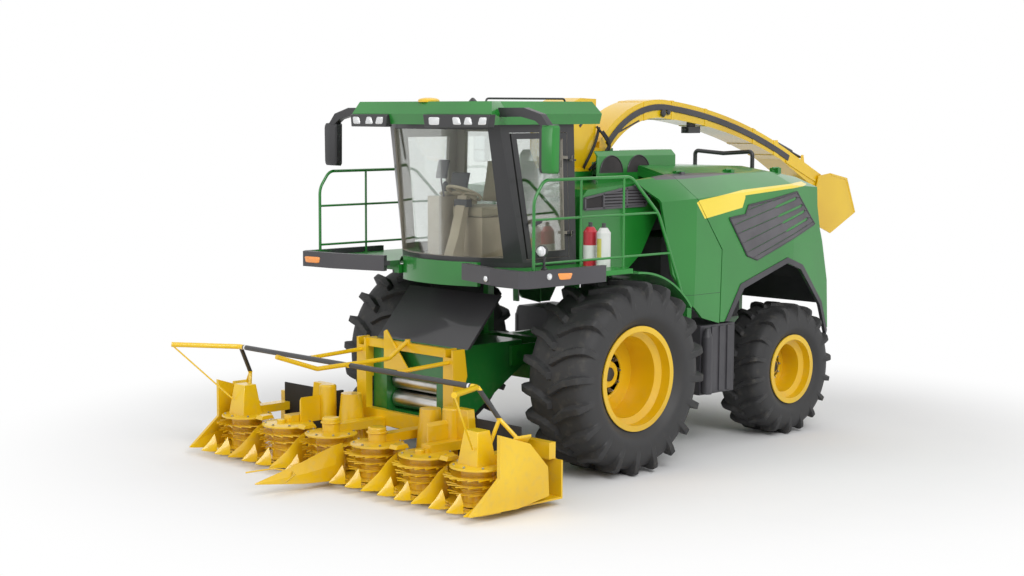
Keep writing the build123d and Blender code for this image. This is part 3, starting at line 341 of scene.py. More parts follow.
black_plastic = matt("bumper_plastic", "49484c", "3e3d41", 0.48, 420.0, 0.0006)
grey_plastic = matt("grille_plastic", "605e62", "525054", 0.5, 420.0, 0.0005)
dark_rubber = matt("seal_rubber", "222224", "1b1b1c", 0.7, 300.0, 0.0005)
casting = matt("rough_casting", "4a4b4d", "333436", 0.62, 90.0, 0.0016)
bare_steel = matt("rolled_steel", "d2d2d0", "a5a39e", 0.28, 60.0, 0.0006, metal=1.0, stretch=(1, 14, 14))
zinc = matt("zinc_plate", "b9b8ae", "94928a", 0.34, 200.0, 0.0003, metal=1.0)

# %% Hand the CAD nodes of one colour their finish
FINISH_OF = {
    green_paint: ("frame", "axles", "cab_beams", "cab_roof", "body_hoops", "lower_panels", "railings",
                  "hood_top", "knuckle_left", "knuckle_right"),
    yellow_paint: ("front_rim_left", "front_rim_right", "rear_rim_left", "rear_rim_right", "spout_turret",
                   "spout_arm", "header_frame", "header_dividers", "feed_drum_left", "feed_drum_right",
                   *[f"rotor_{number}" for number in range(1, 7)]),
    black_plastic: ("side_boxes", "rear_panel"),
    black_paint: ("spout_cradle",),
    bare_steel: ("feed_roller_lower", "feed_roller_upper"),
    casting: ("engine_block",),
}


def dress(node, finish):
    """Puts a finish on a CAD node."""
    nodes[node].material_slots[0].material = finish
    print(node, "wears", finish.name)


for finish, names in FINISH_OF.items():
    for name in names:
        dress(name, finish)

# %% [markdown]
# The body's side is one skin in the CAD, straight between four sections. Anything that lies on it,
# such as a grille or a bolt, needs to know how far out it is. The same table of sections gives
# that, read by plain interpolation: first along Y for each edge of the skin, then up Z.

# %% Where the body's side lies
SECTION_Y = (-0.640, 0.095, 1.900, 2.750)
FOOT_X, BELT_X = (1.060, 1.420, 1.420, 1.360), (1.080, 1.450, 1.450, 1.400)
SHOULDER_X, SHOULDER_Z = (1.080, 1.450, 1.430, 1.360), (2.800, 2.864, 2.960, 2.900)
EDGE_X, EDGE_Z = (1.010, 1.100, 1.100, 1.040), (3.060, 3.105, 3.110, 2.990)
FOOT_Z, BELT_Z = 1.200, 2.273


def skin_x(y, z):
    """How far out the body's side is at (y, z): straight from foot to belt, shoulder and hood edge."""
    y, z = np.broadcast_arrays(np.asarray(y, float), np.asarray(z, float))
    foot, belt, shoulder, edge = (np.interp(y, SECTION_Y, xs) for xs in (FOOT_X, BELT_X, SHOULDER_X, EDGE_X))
    shoulder_z, edge_z = (np.interp(y, SECTION_Y, zs) for zs in (SHOULDER_Z, EDGE_Z))
    low = foot + (belt - foot) * (z - FOOT_Z) / (BELT_Z - FOOT_Z)
    middle = belt + (shoulder - belt) * (z - BELT_Z) / (shoulder_z - BELT_Z)
    high = shoulder + (edge - shoulder) * (z - shoulder_z) / (edge_z - shoulder_z)
    return np.where(z < BELT_Z, low, np.where(z < shoulder_z, middle, high))


# %% [markdown]
# The side panels carry a yellow stripe that is tall in front, where it steps down behind the
# grille's corner to a thin band. It is painted on, so it is a patch and not a piece. The front
# panel shows its first corner, and the seam between them cuts it. A dark wedge runs along the
# hood's edge behind the vents, and it is painted on too.

# %% Side panels with their stripe
STRIPE_TALL = [(0.092, 2.818), (0.239, 2.636), (0.915, 2.735), (0.968, 2.844), (0.968, 2.934), (0.145, 2.846)]
STRIPE_THIN = [(0.966, 2.844), (1.953, 2.930), (2.300, 2.950), (2.300, 2.990), (2.067, 2.985), (0.966, 2.934)]
WEDGE = [(-0.190, 3.070), (0.211, 3.070), (1.300, 3.108), (0.164, 3.150), (-0.190, 3.140)]
SEAM_Z, SEAM_HALF = 1.790, 0.003


def on_skin(points):
    """A mask that holds inside an outline seen from the side."""
    return lambda finish: finish.outline("YZ", points)


def region(soft=0.002, **limits):
    """A mask that holds between a low and a high limit along each axis named, None being no limit."""
    def mask(finish):
        inside = 1.0
        for letter, (low, high) in limits.items():
            if low is not None:
                inside = finish.rise(finish.axis(letter), low - soft, low + soft) * inside
            if high is not None:
                inside = (1.0 - finish.rise(finish.axis(letter), high - soft, high + soft)) * inside
        return inside
    return mask


markings = [(on_skin(part), "fae04a", "f3d62c", 0.3) for part in (STRIPE_TALL, STRIPE_THIN)]
markings.append((on_skin(WEDGE), GREY, GREY_DEEP, 0.5))
seam = (region(0.001, Z=(SEAM_Z - SEAM_HALF, SEAM_Z + SEAM_HALF)), "10401b", "10401b", 0.5)
door_paint = enamel("side_panel_enamel", GREEN, GREEN_DEEP, patches=markings)
front_paint = enamel("front_panel_enamel", GREEN, GREEN_DEEP, patches=[*markings, seam])
dress("side_door_left", door_paint)
dress("side_door_right", door_paint)
dress("front_side_panels", front_paint)

# %% [markdown]
# Other pieces of two colours follow the same way: the vent in the front hood, whose recessed floor
# is painted black as painted shade, the dark bumper round the green deck, the mirror's green shell,
# the black middle of the header's guide bar, the flap's inside, a darker yellow that is painted
# shade, the dark guard above the feeder and the fire extinguishers with their bands.

# %% Hood, platforms and mirrors
VENT = [(-1.215, 2.768), (-0.200, 2.772), (0.045, 3.052), (-0.600, 2.985), (-1.215, 2.900)]
VENT_FLOOR_X = 0.9475
DECK = [(0.62, -2.61), (1.25, -2.825), (1.722, -2.855), (1.722, -1.0), (0.62, -1.0)]
MIRRORED_DECK = [(-x, y) for x, y in reversed(DECK)]


def vent_floor_shade(finish):
    """The vent's recessed floor, painted black as painted shade for the dark inside."""
    return finish.outline("YZ", VENT) * (finish.axis("A") < VENT_FLOOR_X)


def deck_sheet(finish):
    """The deck's green sheet on both platforms."""
    return finish.outline("XY", DECK) + finish.outline("XY", MIRRORED_DECK)


deck_edge = region(Y=(-1.753, None), A=(1.7, None))
mirror_shell = region(X=(1.645, 1.9), Y=(None, -2.495), Z=(3.2, 3.69))
# The vent's recessed floor is painted black: painted shade for the dark inside of the vent.
dress("hood_front", enamel("hood_enamel", GREEN, GREEN_DEEP, patches=[
    (on_skin(VENT), GREY, GREY_DEEP, 0.5), (vent_floor_shade, BLACK, BLACK, 0.7)]))
dress("platforms", enamel("platform_enamel", "49484c", "3e3d41", gloss=0.46, clear=0.0, patches=[
    (deck_sheet, GREEN, GREEN_DEEP, 0.3), (deck_edge, GREEN, GREEN_DEEP, 0.3)]))
dress("mirrors", enamel("mirror_enamel", "3a393d", BLACK, gloss=0.42, clear=0.1, patches=[
    (mirror_shell, GREEN, GREEN_DEEP, 0.3)]))

# %% Header guides, flap, feeder and extinguishers
BAR_Y, BAR_Z, BAR_HALF = -3.707, 1.220, 0.04
BAR_BLACK_X, TUBE_HALF, POST_X = 1.84, 0.026, 1.885
GUARD_PLACE, GUARD_SLOPE = (-2.62, 1.372), 1.128
SPLIT_X = 1.335
BAR_LIMITS = (BAR_Y - BAR_HALF, BAR_Y + BAR_HALF)
black_bar = region(A=(TUBE_HALF, BAR_BLACK_X), Y=BAR_LIMITS, Z=(BAR_Z - BAR_HALF, BAR_Z + BAR_HALF))
black_post = region(A=(POST_X, None), Y=(-3.735, None), Z=(0.915, 1.192))
guide_rings = region(A=(BAR_BLACK_X - 0.045, BAR_BLACK_X - 0.02), Y=BAR_LIMITS, Z=(1.17, None))
flap_inside_shade = region(A=(None, 0.2165), Z=(None, 2.92))
pale_bottle, bottle_heads = region(X=(SPLIT_X, None)), region(Z=(2.612, None))
red_bottle_band = region(X=(None, SPLIT_X), Z=(2.265, 2.42))
pale_bottle_band = region(X=(1.40, 1.46), Y=(None, -1.45), Z=(2.30, 2.50))


def guard(finish):
    """The dark sheet that leans back above the feeder."""
    foot_y, foot_z = GUARD_PLACE
    above = (finish.axis("Z") - foot_z) - (finish.axis("Y") - foot_y) * GUARD_SLOPE
    return (finish.axis("Z") > 1.349) * (finish.axis("Y") < -2.13) * (above > -0.06)


dress("header_guides", enamel("guide_enamel", YELLOW, YELLOW_DEEP, patches=[
    (black_bar, BLACK_SOFT, BLACK, 0.5), (black_post, BLACK_SOFT, BLACK, 0.5),
    (guide_rings, "eeeeee", "dddddd", 0.4)]))
# The flap's inside is painted in a darker copy of the yellow: painted shade.
dress("spout_flap", enamel("flap_enamel", YELLOW, YELLOW_DEEP, patches=[
    (flap_inside_shade, "6b5c14", "594c10", 0.5)]))
dress("feeder_housing", enamel("feeder_enamel", "1f7d33", "17692a", patches=[
    (guard, "3a393c", "2e2d30", 0.5)]))
dress("extinguishers", enamel("extinguisher_enamel", "cf2438", "b81a2c", patches=[
    (pale_bottle, "e8e8e6", "d9d9d6", 0.35), (red_bottle_band, "eeeeec", "e2e2e0", 0.45),
    (pale_bottle_band, "d8cf62", "c9c055", 0.45), (bottle_heads, "4a4a4a", "3a3a3a", 0.4)]))

# %% [markdown]
# Inside, the cab's pillars and walls are lined in warm grey, while outside they are black. Both
# faces belong to one CAD node, so the finish looks at which way the surface faces: towards the
# cab's middle it is lining, away from it black. Only the piece's own place and normal are read.

# %% Cab shell with its lining
CAB_MIDDLE = (0.0, -1.9, 2.95)


def facing_in(finish):
    """1 where the surface faces the cab's middle."""
    inwards = finish.vector("SUBTRACT", CAB_MIDDLE, finish.here)
    toward = finish.vector("DOT_PRODUCT", inwards, finish.node("TexCoord", output="Normal"), "Value")
    return finish.rise(toward, 0.0, 0.02)


lining = (facing_in, "a9a196", "989086", 0.6)
for node in ("cab_shell", "cab_door"):
    dress(node, enamel(f"{node}_enamel", "2c2c2e", BLACK, gloss=0.35, clear=0.2, patches=[lining]))

# %% [markdown]
# Cab glass is thin and almost clear. A solid that bends light would darken the cab and cost time,
# so the pane mixes a faintly green see-through shader with a sharp mirror, by the share of light
# that glass throws back at each angle.

# %% Glass
MIRROR_SHARE = 0.4
pane = Finish("cab_glass_pane")
gleam = pane.node("Fresnel", inputs={"IOR": 1.45})
clear = pane.node("BsdfTransparent", inputs={"Color": (0.95, 0.965, 0.955, 1)})
mirror = pane.node("BsdfGlossy", inputs={"Color": WHITE, "Roughness": 0.02})
share = gleam * MIRROR_SHARE + pane.noise(1.2) * 0.01
pane_mix = pane.node("MixShader", inputs={0: share, 1: clear, 2: mirror})
pane.node("OutputMaterial", inputs={"Surface": pane_mix})
for name in ("cab_glass", "cab_door_glass"):
    dress(name, pane.material)

# %% [markdown]
# Tractor tyres are dark grey rather than black, matt on the tread and a little smoother on the
# wall. The finish adds the moulding's fine grain and a trace of floor dust on the tread.


# %% Tyre rubber
def tyre_rubber(name, centre_y, centre_z, wall_r):
    """Rubber whose roughness and dust grow beyond the wall's radius, measured from the axle."""
    rubber = Finish(name)
    place = rubber.vector("SUBTRACT", rubber.here, (0, centre_y, centre_z))
    radius = rubber.vector("LENGTH", rubber.vector("MULTIPLY", place, (0, 1, 1)), output="Value")
    tread = rubber.rise(radius, wall_r - 0.04, wall_r + 0.04)
    dusty = tread * rubber.rise(rubber.noise(11.0, 6.0), 0.5, 0.85) * 0.12
    shade = rubber.blend(rubber.noise(1.6, 3.0), "343435", "2b2b2c")
    return rubber.surface(Base_Color=rubber.blend(dusty, shade, DUST), Roughness=0.56 + tread * 0.12,
                          Normal=rubber.bump(rubber.noise(240.0, 3.0), 0.3, 0.0008))


# %% [markdown]
# New pieces are grids of points. A grid is a surface with two parameters, stored as an array of
# rows, columns and xyz, and faces join each point to its neighbours. A grid may close on itself
# along either way, and its first and last rows may be capped. Closed grids are turned the right
# way round by their volume, so that every face points outwards.


# %% Grids become meshes
def grid_faces(rows, columns, wrap_rows, wrap_columns):
    """Quads between neighbours of a grid whose points are numbered row by row."""
    down = np.arange(rows if wrap_rows else rows - 1)[:, None]
    across = np.arange(columns if wrap_columns else columns - 1)[None, :]
    next_down, next_across = (down + 1) % rows, (across + 1) % columns
    corners = (down * columns + across, down * columns + next_across,
               next_down * columns + next_across, next_down * columns + across)
    return np.stack([c.ravel() for c in np.broadcast_arrays(*corners)], axis=1)


def outwards(points, blocks):
    """Turns the faces round where the volume, summed over each face's fan of triangles, is negative."""
    volume = 0.0
    for faces in blocks:
        for i in range(1, faces.shape[1] - 1):
            volume += (np.cross(points[faces[:, 0]], points[faces[:, i]]) * points[faces[:, i + 1]]).sum()
    return points, [faces[:, ::-1] for faces in blocks] if volume < 0 else blocks


def solid_grid(points, wrap_rows=False, wrap_columns=True, capped=True):
    """Points and faces of a closed grid; caps are fans to the middle of the first and last rows."""
    rows, columns, _ = points.shape
    if capped:
        first, last = points[:1].mean(axis=1, keepdims=True), points[-1:].mean(axis=1, keepdims=True)
        points = np.concatenate([np.repeat(first, columns, axis=1), points, np.repeat(last, columns, axis=1)])
        rows += 2
    flat = points.reshape(-1, 3)
    return outwards(flat, [grid_faces(rows, columns, wrap_rows, wrap_columns)])


def prism(letter, outline, low, high):
    """An outline in the plane across one axis, carried along that axis from low to high."""
    outline = np.array(outline, float)
    count, index = len(outline), "XYZ".index(letter)
    points = np.concatenate([np.insert(outline, index, level, axis=1) for level in (low, high)])
    around = np.arange(count)
    walls = np.stack([around, (around + 1) % count, (around + 1) % count + count, around + count], axis=1)
    caps = np.stack([around[::-1], around + count])
    return outwards(points, [walls, caps])


def mirrored(shells):
    """The same shells on the other side of the machine."""
    return [outwards(points * (-1, 1, 1), blocks) for points, blocks in shells]


def both(shells):
    """The shells and their mirror images."""
    return shells + mirrored(shells)


def on_side(side, shells):
    """Shells made for the left side, there or on the right."""
    return shells if side == 1 else mirrored(shells)


# %% Pieces that ride on a body
SIDES = (("left", 1), ("right", -1))
SHARP_ANGLE, BEVEL_ANGLE = 35, 30


def add_piece(name, shells, finish, body="chassis", bevel=0.0, smooth=True):
    """Makes one mesh of several shells of points and faces, and lets it ride on a body."""
    starts = np.cumsum([0] + [len(points) for points, _ in shells])
    points = np.concatenate([points for points, _ in shells])
    faces = []
    for (_, blocks), start in zip(shells, starts):
        for block in blocks:
            faces += (block + start).tolist()
    mesh = bpy.data.meshes.new(name)
    mesh.from_pydata(points.tolist(), [], faces)
    mesh.validate()
    work = bmesh.new()
    work.from_mesh(mesh)
    bmesh.ops.remove_doubles(work, verts=work.verts, dist=1e-6)
    bmesh.ops.dissolve_degenerate(work, edges=work.edges, dist=1e-7)
    work.to_mesh(mesh)
    work.free()
    if smooth:
        mesh.set_sharp_from_angle(angle=radians(SHARP_ANGLE))
        mesh.polygons.foreach_set("use_smooth", np.ones(len(mesh.polygons), bool))
    mesh.materials.append(finish)
    piece = bpy.data.objects.new(name, mesh)
    bpy.context.scene.collection.objects.link(piece)
    if bevel:
        edges = piece.modifiers.new("soft_edges", "BEVEL")
        edges.width, edges.segments, edges.use_clamp_overlap = bevel, 2, True
        edges.limit_method, edges.angle_limit = "ANGLE", radians(BEVEL_ANGLE)
    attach(piece, body)
    print(name, len(mesh.polygons), "faces")
    return piece


# %% [markdown]
# Five shapes are used again and again. A lathe turns a profile about an axis. A tube carries a
# circle along a smooth path. A slab is an outline with a small chamfer, pushed out of a plane. A
# lens is an outline that domes to its middle. Bolt heads are six-sided lathes set out in a list.


# %% Lathe, tube, slab, lens and bolts
UP, LEFT = (0, 0, 1), (1, 0, 0)


def frame_of(normal):
    """Two directions at right angles to a normal and to each other."""
    normal = np.asarray(normal, float) / np.linalg.norm(normal)
    helper = np.array((0.0, 0.0, 1.0)) if abs(normal[2]) < 0.9 else np.array((0.0, 1.0, 0.0))
    side = np.cross(helper, normal)
    side /= np.linalg.norm(side)
    return side, np.cross(normal, side), normal


def lathe(centre, normal, profile, sides=32):
    """Points at centre + r (side cos t + up sin t) + h normal, for each (r, h) of a profile."""
    side, up, out = frame_of(normal)
    profile = np.array(profile, float)
    turn = np.linspace(0, 2 * pi, sides, endpoint=False)
    ring = np.cos(turn)[:, None] * side + np.sin(turn)[:, None] * up
    points = np.asarray(centre) + profile[:, 0, None, None] * ring + profile[:, 1, None, None] * out
    return solid_grid(points)


def upright(x, y, profile, sides=40):
    """A lathe about an upright axis, from (r, z) places."""
    return lathe((x, y, 0), UP, profile, sides)


def smooth_path(points, steps):
    """A Catmull-Rom curve: each span is a cubic whose slopes are half the chord of its neighbours."""
    p = np.array(points, float)
    p = np.concatenate([2 * p[:1] - p[1:2], p, 2 * p[-1:] - p[-2:-1]])
    t = np.linspace(0, 1, steps, endpoint=False)[None, :, None]
    a, b, c, d = (p[i:len(p) - 3 + i][:, None, :] for i in range(4))
    spans = 0.5 * (2 * b + (c - a) * t + (2 * a - 5 * b + 4 * c - d) * t**2 + (3 * b - a - 3 * c + d) * t**3)
    return np.concatenate([spans.reshape(-1, 3), p[-2:-1]])


def tube(points, radius, sides=12, steps=8, smooth=True):
    """A circle of a radius carried along a path, with one steady side direction."""
    path = smooth_path(points, steps) if smooth else np.array(points, float)
    along = np.gradient(path, axis=0)
    along /= np.linalg.norm(along, axis=1, keepdims=True)
    spread = path.max(axis=0) - path.min(axis=0)
    steady = np.eye(3)[int(np.argmin(spread))]
    side = np.cross(steady, along)
    side /= np.linalg.norm(side, axis=1, keepdims=True)
    up = np.cross(along, side)
    turn = np.linspace(0, 2 * pi, sides, endpoint=False)[None, :, None]
    return solid_grid(path[:, None] + radius * (np.cos(turn) * side[:, None] + np.sin(turn) * up[:, None]))


def slab(outline, low, high, chamfer=0.003):
    """An outline of xyz points pushed along low..high vectors, its outer edge drawn in by a chamfer."""
    outline = np.array(outline, float)
    middle = outline.mean(axis=0)
    inward = middle - outline
    inward *= chamfer / np.linalg.norm(inward, axis=1, keepdims=True)
    low, high = np.array(low, float), np.array(high, float)
    step = (high - low) * min(chamfer / np.linalg.norm(high - low), 0.4)
    rows = [outline + low, outline + high - step, outline + inward + high]
    return solid_grid(np.stack(rows))


def lens(outline, bulge):
    """An outline that domes by a bulge vector: the height is bulge times the root of 1 - s squared."""
    outline = np.array(outline, float)
    middle = outline.mean(axis=0)
    s = np.sin(np.linspace(pi / 2, 0.0, 7))[:, None, None]
    height = np.sqrt(np.clip(1 - s**2, 0, 1))
    dome = middle + (outline - middle) * s + height * np.array(bulge, float)
    back = outline[None] - 0.2 * np.array(bulge, float)
    return solid_grid(np.concatenate([back, dome]))


def bolts(places, normal, radius, height):
    """Six-sided heads with a chamfered top and a washer under each."""
    washer = [(radius * 1.35, 0.0), (radius * 1.35, height * 0.22), (radius * 0.98, height * 0.22)]
    head = [(radius, height * 0.22), (radius, height * 0.85), (radius * 0.82, height)]
    return [lathe(place, normal, profile, sides)
            for place in places for profile, sides in ((washer, 12), (head, 6))]


# %% [markdown]
# The CAD's tyres have the true size and lugs with flat faces. A moulded tyre is rounder: its wall
# bulges, and each lug rises from the carcass on a curved flank. Here a tyre is one grid that goes
# round the axle and across the section. Two profiles are worked out, the bare carcass and the
# envelope over the lugs, and a mask says where a lug is: the surface is the carcass plus the mask
# times the way to the envelope. The lugs follow the same outline as in the CAD.

# %% Tyres
LUG_FRONT = ((-0.04, 0.45, 1.02), (-0.30, -0.03, 0.13))
LUG_BACK = ((-0.04, 0.42, 1.02), (-0.10, 0.17, 0.33))
LUG_FLANK = 0.035


def soft_step(value):
    """0 below 0, 1 above 1 and 3 v^2 - 2 v^3 between."""
    value = np.clip(value, 0, 1)
    return value * value * (3 - 2 * value)


def tyre_grid(centre, side, radius, width, flange_r, rim_w, lugs, around=840):
    """The surface of one tyre, on a grid round the axle (rows) and across the section (columns)."""
    half, seat, bead_r = width / 2, rim_w / 2 - 0.0225, flange_r - 0.0447
    wall, tread_r = radius - flange_r, radius * 0.945
    carcass = np.array([(seat, bead_r), (seat + 0.006, flange_r + 0.008),
                        (half * 0.955, flange_r + 0.22 * wall),
                        (half * 0.972, flange_r + 0.45 * wall), (half * 0.93, flange_r + 0.66 * wall),
                        (half * 0.80, flange_r + 0.81 * wall), (half * 0.62, tread_r - 0.004),
                        (half * 0.40, tread_r + 0.001), (half * 0.20, tread_r + 0.003),
                        (0.0, tread_r + 0.004)])
    cover = carcass.copy()
    cover[3:] = [(half * 0.975, flange_r + 0.46 * wall), (half * 0.995, flange_r + 0.70 * wall),
                 (half * 0.955, radius - 0.035), (half * 0.80, radius - 0.006),
                 (half * 0.50, radius - 0.0025), (half * 0.24, radius - 0.002), (0.0, radius - 0.002)]
    fine = [smooth_path(np.column_stack([line, np.zeros(len(line))]), 5)[:, :2] for line in (carcass, cover)]
    carcass, cover = (np.concatenate([line, line[-2::-1] * (-1, 1)])[None] for line in fine)
    turn = np.linspace(0, 2 * pi, around, endpoint=False)[:, None]
    across = np.abs(cover[..., 0]) / half
    behind_front = np.interp(across, *LUG_FRONT) * half / radius
    behind_back = np.interp(across, *LUG_BACK) * half / radius
    pitch = 2 * pi / lugs
    outer = cover[..., 0] >= 0
    phase = np.where(outer, turn, turn - pitch / 2)
    middle = (behind_front + behind_back) / 2
    offset = (phase - middle + pitch / 2) % pitch - pitch / 2
    reach = (behind_back - behind_front) / 2
    flank = LUG_FLANK * half / radius
    mask = soft_step((reach - np.abs(offset)) / flank + 0.5)
    section = carcass + mask[..., None] * (cover - carcass)
    x, r = section[..., 0], section[..., 1]
    points = np.stack([centre[0] + side * x, centre[1] + r * np.sin(turn), centre[2] + r * np.cos(turn)],
                      axis=-1)
    return solid_grid(points, wrap_rows=True, wrap_columns=True, capped=False)


TYRES = (
    # axle, centre y, radius, width, centre x, flange radius, rim width, lugs
    ("front", -1.25, 1.030, 0.850, 1.460, 0.560, 0.690, 20),
    ("rear", 1.90, 0.780, 0.620, 1.200, 0.410, 0.540, 18),
)
for axle, y, radius, width, x, flange_r, rim_w, lugs in TYRES:
    rubber = tyre_rubber(f"{axle}_tyre_rubber", y, radius, radius * 0.86)
    for side_name, side in SIDES:
        shell = tyre_grid((side * x, y, radius), side, radius, width, flange_r, rim_w, lugs)
        tyre = add_piece(f"{axle}_tyre_{side_name}_moulded", [shell], rubber, f"{axle}_wheel_{side_name}")
        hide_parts(f"{axle}_tyre_{side_name}")

# %% [markdown]
# Each rim carries a ring of wheel nuts on its disc and a small cap on the hub. Nuts are zinc
# plated, so they read as pale dots against the yellow.

# %% Wheel nuts and hub caps
RIMS = (
    # axle, centre y, centre z, disc face x, hub face x, nut circle, nuts, ring in, ring out
    ("front", -1.25, 1.030, 1.3142, 1.3802, 0.205, 10, 0.250, 0.300),
    ("rear", 1.90, 0.780, 1.1242, 1.1902, 0.158, 10, 0.190, 0.225),
)
STUD = [(0.011, 0.0), (0.011, 0.052), (0.008, 0.056)]
CAP = [(0.075, 0.0), (0.075, 0.012), (0.066, 0.020), (0.030, 0.024)]
for axle, y, z, disc_x, hub_x, circle, count, ring_in, ring_out in RIMS:
    turn = np.linspace(0, 2 * pi, count, endpoint=False) + 0.2
    ring = [(ring_in, 0.0), (ring_in + 0.006, 0.010), (ring_out - 0.012, 0.012), (ring_out, 0.0)]
    for side_name, side in SIDES:
        body, out = f"{axle}_wheel_{side_name}", (side, 0, 0)
        places = [(side * disc_x, y + circle * sin(t), z + circle * cos(t)) for t in turn]
        nuts = bolts(places, out, 0.019, 0.034) + [lathe(place, out, STUD, 10) for place in places]
        add_piece(f"{axle}_wheel_nuts_{side_name}", nuts, zinc, body)
        disc_ring = lathe((side * disc_x, y, z), out, ring, 64)
        hub_cap = lathe((side * hub_x, y, z), out, CAP, 40)
        add_piece(f"{axle}_disc_ring_{side_name}", [disc_ring], yellow_paint, body)
        add_piece(f"{axle}_hub_cap_{side_name}", [hub_cap], black_paint, body)

# %% [markdown]
# Three more helpers serve the pieces with flat faces. A loft joins loops of the same number of
# points. A bent bar rounds the corners of its runs, as a bending machine does: each corner becomes
# a short parabola. An arc passes through three points, as the CAD's arcs do.


# %% Lofts, bent bars and arcs
def loft(rows):
    """Loops of as many points each, joined one to the next, with a flat face at both ends."""
    rows = np.array(rows, float)
    count, sides, _ = rows.shape
    walls = grid_faces(count, sides, False, True)
    around = np.arange(sides)
    caps = np.stack([around[::-1], around + (count - 1) * sides])
    return outwards(rows.reshape(-1, 3), [walls, caps])


def tapered(x, y, foot, head, levels):
    """A box that narrows upwards: half sizes at foot and head, and their two heights."""
    corners = np.array([(-1, -1), (1, -1), (1, 1), (-1, 1)])
    return loft([[(x + a * half[0], y + b * half[1], z) for a, b in corners]
                 for half, z in zip((foot, head), levels)])


def brick(x, y, z):
    """A box from its limits along X, Y and Z."""
    return prism("Z", [(x[0], y[0]), (x[1], y[0]), (x[1], y[1]), (x[0], y[1])], *z)


def parabola(start, corner, end, steps):
    """Points of (1 - t)^2 start + 2 t (1 - t) corner + t^2 end."""
    t = np.linspace(0, 1, steps)[:, None]
    return (1 - t) ** 2 * start + 2 * t * (1 - t) * corner + t**2 * end


def bent(points, bend):
    """Straight runs whose corners are parabolas that start and end a bend length from the corner."""
    points = np.array(points, float)
    path = [points[:1]]
    for before, corner, after in zip(points, points[1:], points[2:]):
        start = corner + (before - corner) * bend / np.linalg.norm(before - corner)
        end = corner + (after - corner) * bend / np.linalg.norm(after - corner)
        path.append(parabola(start, corner, end, 7))
    return np.concatenate([*path, points[-1:]])


def pipe(points, radius, bend=0.09, sides=14):
    """A round bar bent at each inner point."""
    return tube(bent(points, bend), radius, sides, smooth=False)


def rounded(outline, share=0.22):
    """An outline whose corners are parabolas that take a share of each neighbouring edge."""
    outline = np.array(outline, float)
    before, after = np.roll(outline, 1, axis=0), np.roll(outline, -1, axis=0)
    starts, ends = outline + (before - outline) * share, outline + (after - outline) * share
    return np.concatenate([parabola(*corner, 5) for corner in zip(starts, outline, ends)])


def arc(a, b, c, steps=20):
    """Points of the circle through a, b and c, from a to c: its centre solves two perpendicular bisectors."""
    a, b, c = (np.array(p, float) for p in (a, b, c))
    centre = np.linalg.solve(np.array([b - a, c - b]) * 2, [b @ b - a @ a, c @ c - b @ b])
    turns = np.unwrap([np.arctan2(*(p - centre)[::-1]) for p in (a, b, c)])
    turn = np.linspace(turns[0], turns[2], steps)
    return centre + np.linalg.norm(a - centre) * np.column_stack([np.cos(turn), np.sin(turn)])


# %% [markdown]
# The header cuts maize at any row width with six rotors. Each is a drum with a saw disc near the
# ground and three rings of fingers above it, whose hooked teeth hold the stalks. The CAD gives the
# drums and discs their size, and here each disc gets its teeth: four points a tooth round the rim,
# root, tip, heel and root again. The left and right rotors turn towards each other, so their hooks
# point opposite ways.

# %% Toothed rotors
ROTOR_XS = [0.75 * (i - 2.5) for i in range(6)]
ROTOR_Y, HOOK = -3.650, 0.42
DRUM = [(0.150, 0.100), (0.170, 0.115), (0.170, 0.425), (0.165, 0.430), (0.0405, 0.430), (0.0405, 0.348),
        (0.010, 0.348)]
DRUM_RIB = np.array([(0.171, 0.0), (0.186, 0.004), (0.186, 0.012), (0.171, 0.016)])
DRUM_RIB_ZS = (0.232, 0.312)
ROTOR_DISCS = (
    # z, thickness, tip radius, root radius, teeth
    (0.105, 0.008, 0.318, 0.296, 36),
    (0.200, 0.012, 0.300, 0.215, 14),
    (0.280, 0.012, 0.315, 0.225, 14),
    (0.358, 0.012, 0.344, 0.262, 20),
)


def toothed_disc(x, hand, z, thickness, tip_r, root_r, teeth):
    """A disc whose outline goes root, tip, heel, root for each tooth; a tip lies a share of a tooth back."""
    tooth = np.arange(teeth)[:, None] + np.array([0.0, -HOOK, -HOOK + 0.12, 0.55])
    radius = np.tile([root_r, tip_r, tip_r - 0.006, root_r + 0.004], teeth)
    turn = hand * tooth.ravel() * 2 * pi / teeth
    outline = np.column_stack([x + radius * np.cos(turn), ROTOR_Y + radius * np.sin(turn)])
    return prism("Z", outline, z, z + thickness)


for number, x in enumerate(ROTOR_XS, 1):
    hand = 1 if x > 0 else -1
    shells = [upright(x, ROTOR_Y, DRUM)]
    shells += [upright(x, ROTOR_Y, DRUM_RIB + (0.0, z)) for z in DRUM_RIB_ZS]
    shells += [toothed_disc(x, hand, *disc) for disc in ROTOR_DISCS]
    rotor = add_piece(f"rotor_{number}_toothed", shells, yellow_paint, f"rotor_{number}", bevel=0.0015)
    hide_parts(f"rotor_{number}")

# %% [markdown]
# Row points part the crop before the rotors. Each is a sheet pressed into a ridge: five corners
# at every station, two at the foot, two at half height and one on the ridge. It narrows from the
# back by a waist to a small tip. The long ones between two rotors also narrow at the back, where
# the rotors' rims come close.

# %% Row points
SMALL_POINT = ((-4.184, 0.006, 0.091, 0.106), (-4.092, 0.030, 0.070, 0.172), (-4.005, 0.047, 0.062, 0.262))
LONG_POINT = ((-4.184, 0.006, 0.091, 0.106), (-3.960, 0.043, 0.064, 0.240), (-3.830, 0.058, 0.060, 0.352),
              (-3.705, 0.022, 0.058, 0.424))
MIDDLE_POINT = ((-4.925, 0.006, 0.143, 0.158), (-4.360, 0.074, 0.080, 0.285), (-3.985, 0.108, 0.062, 0.392),
                (-3.860, 0.072, 0.060, 0.418), (-3.800, 0.046, 0.060, 0.424))
END_POINT = ((-4.184, 0.006, 0.091, 0.106), (-3.960, 0.013, 0.064, 0.200), (-3.705, 0.014, 0.058, 0.262))
SMALL_XS = [x + offset for x in ROTOR_XS for offset in (-0.125, 0.125)]
SPRING_PATH = ((0.03, -4.48, 0.215), (0.19, -4.56, 0.225), (0.33, -4.80, 0.195))


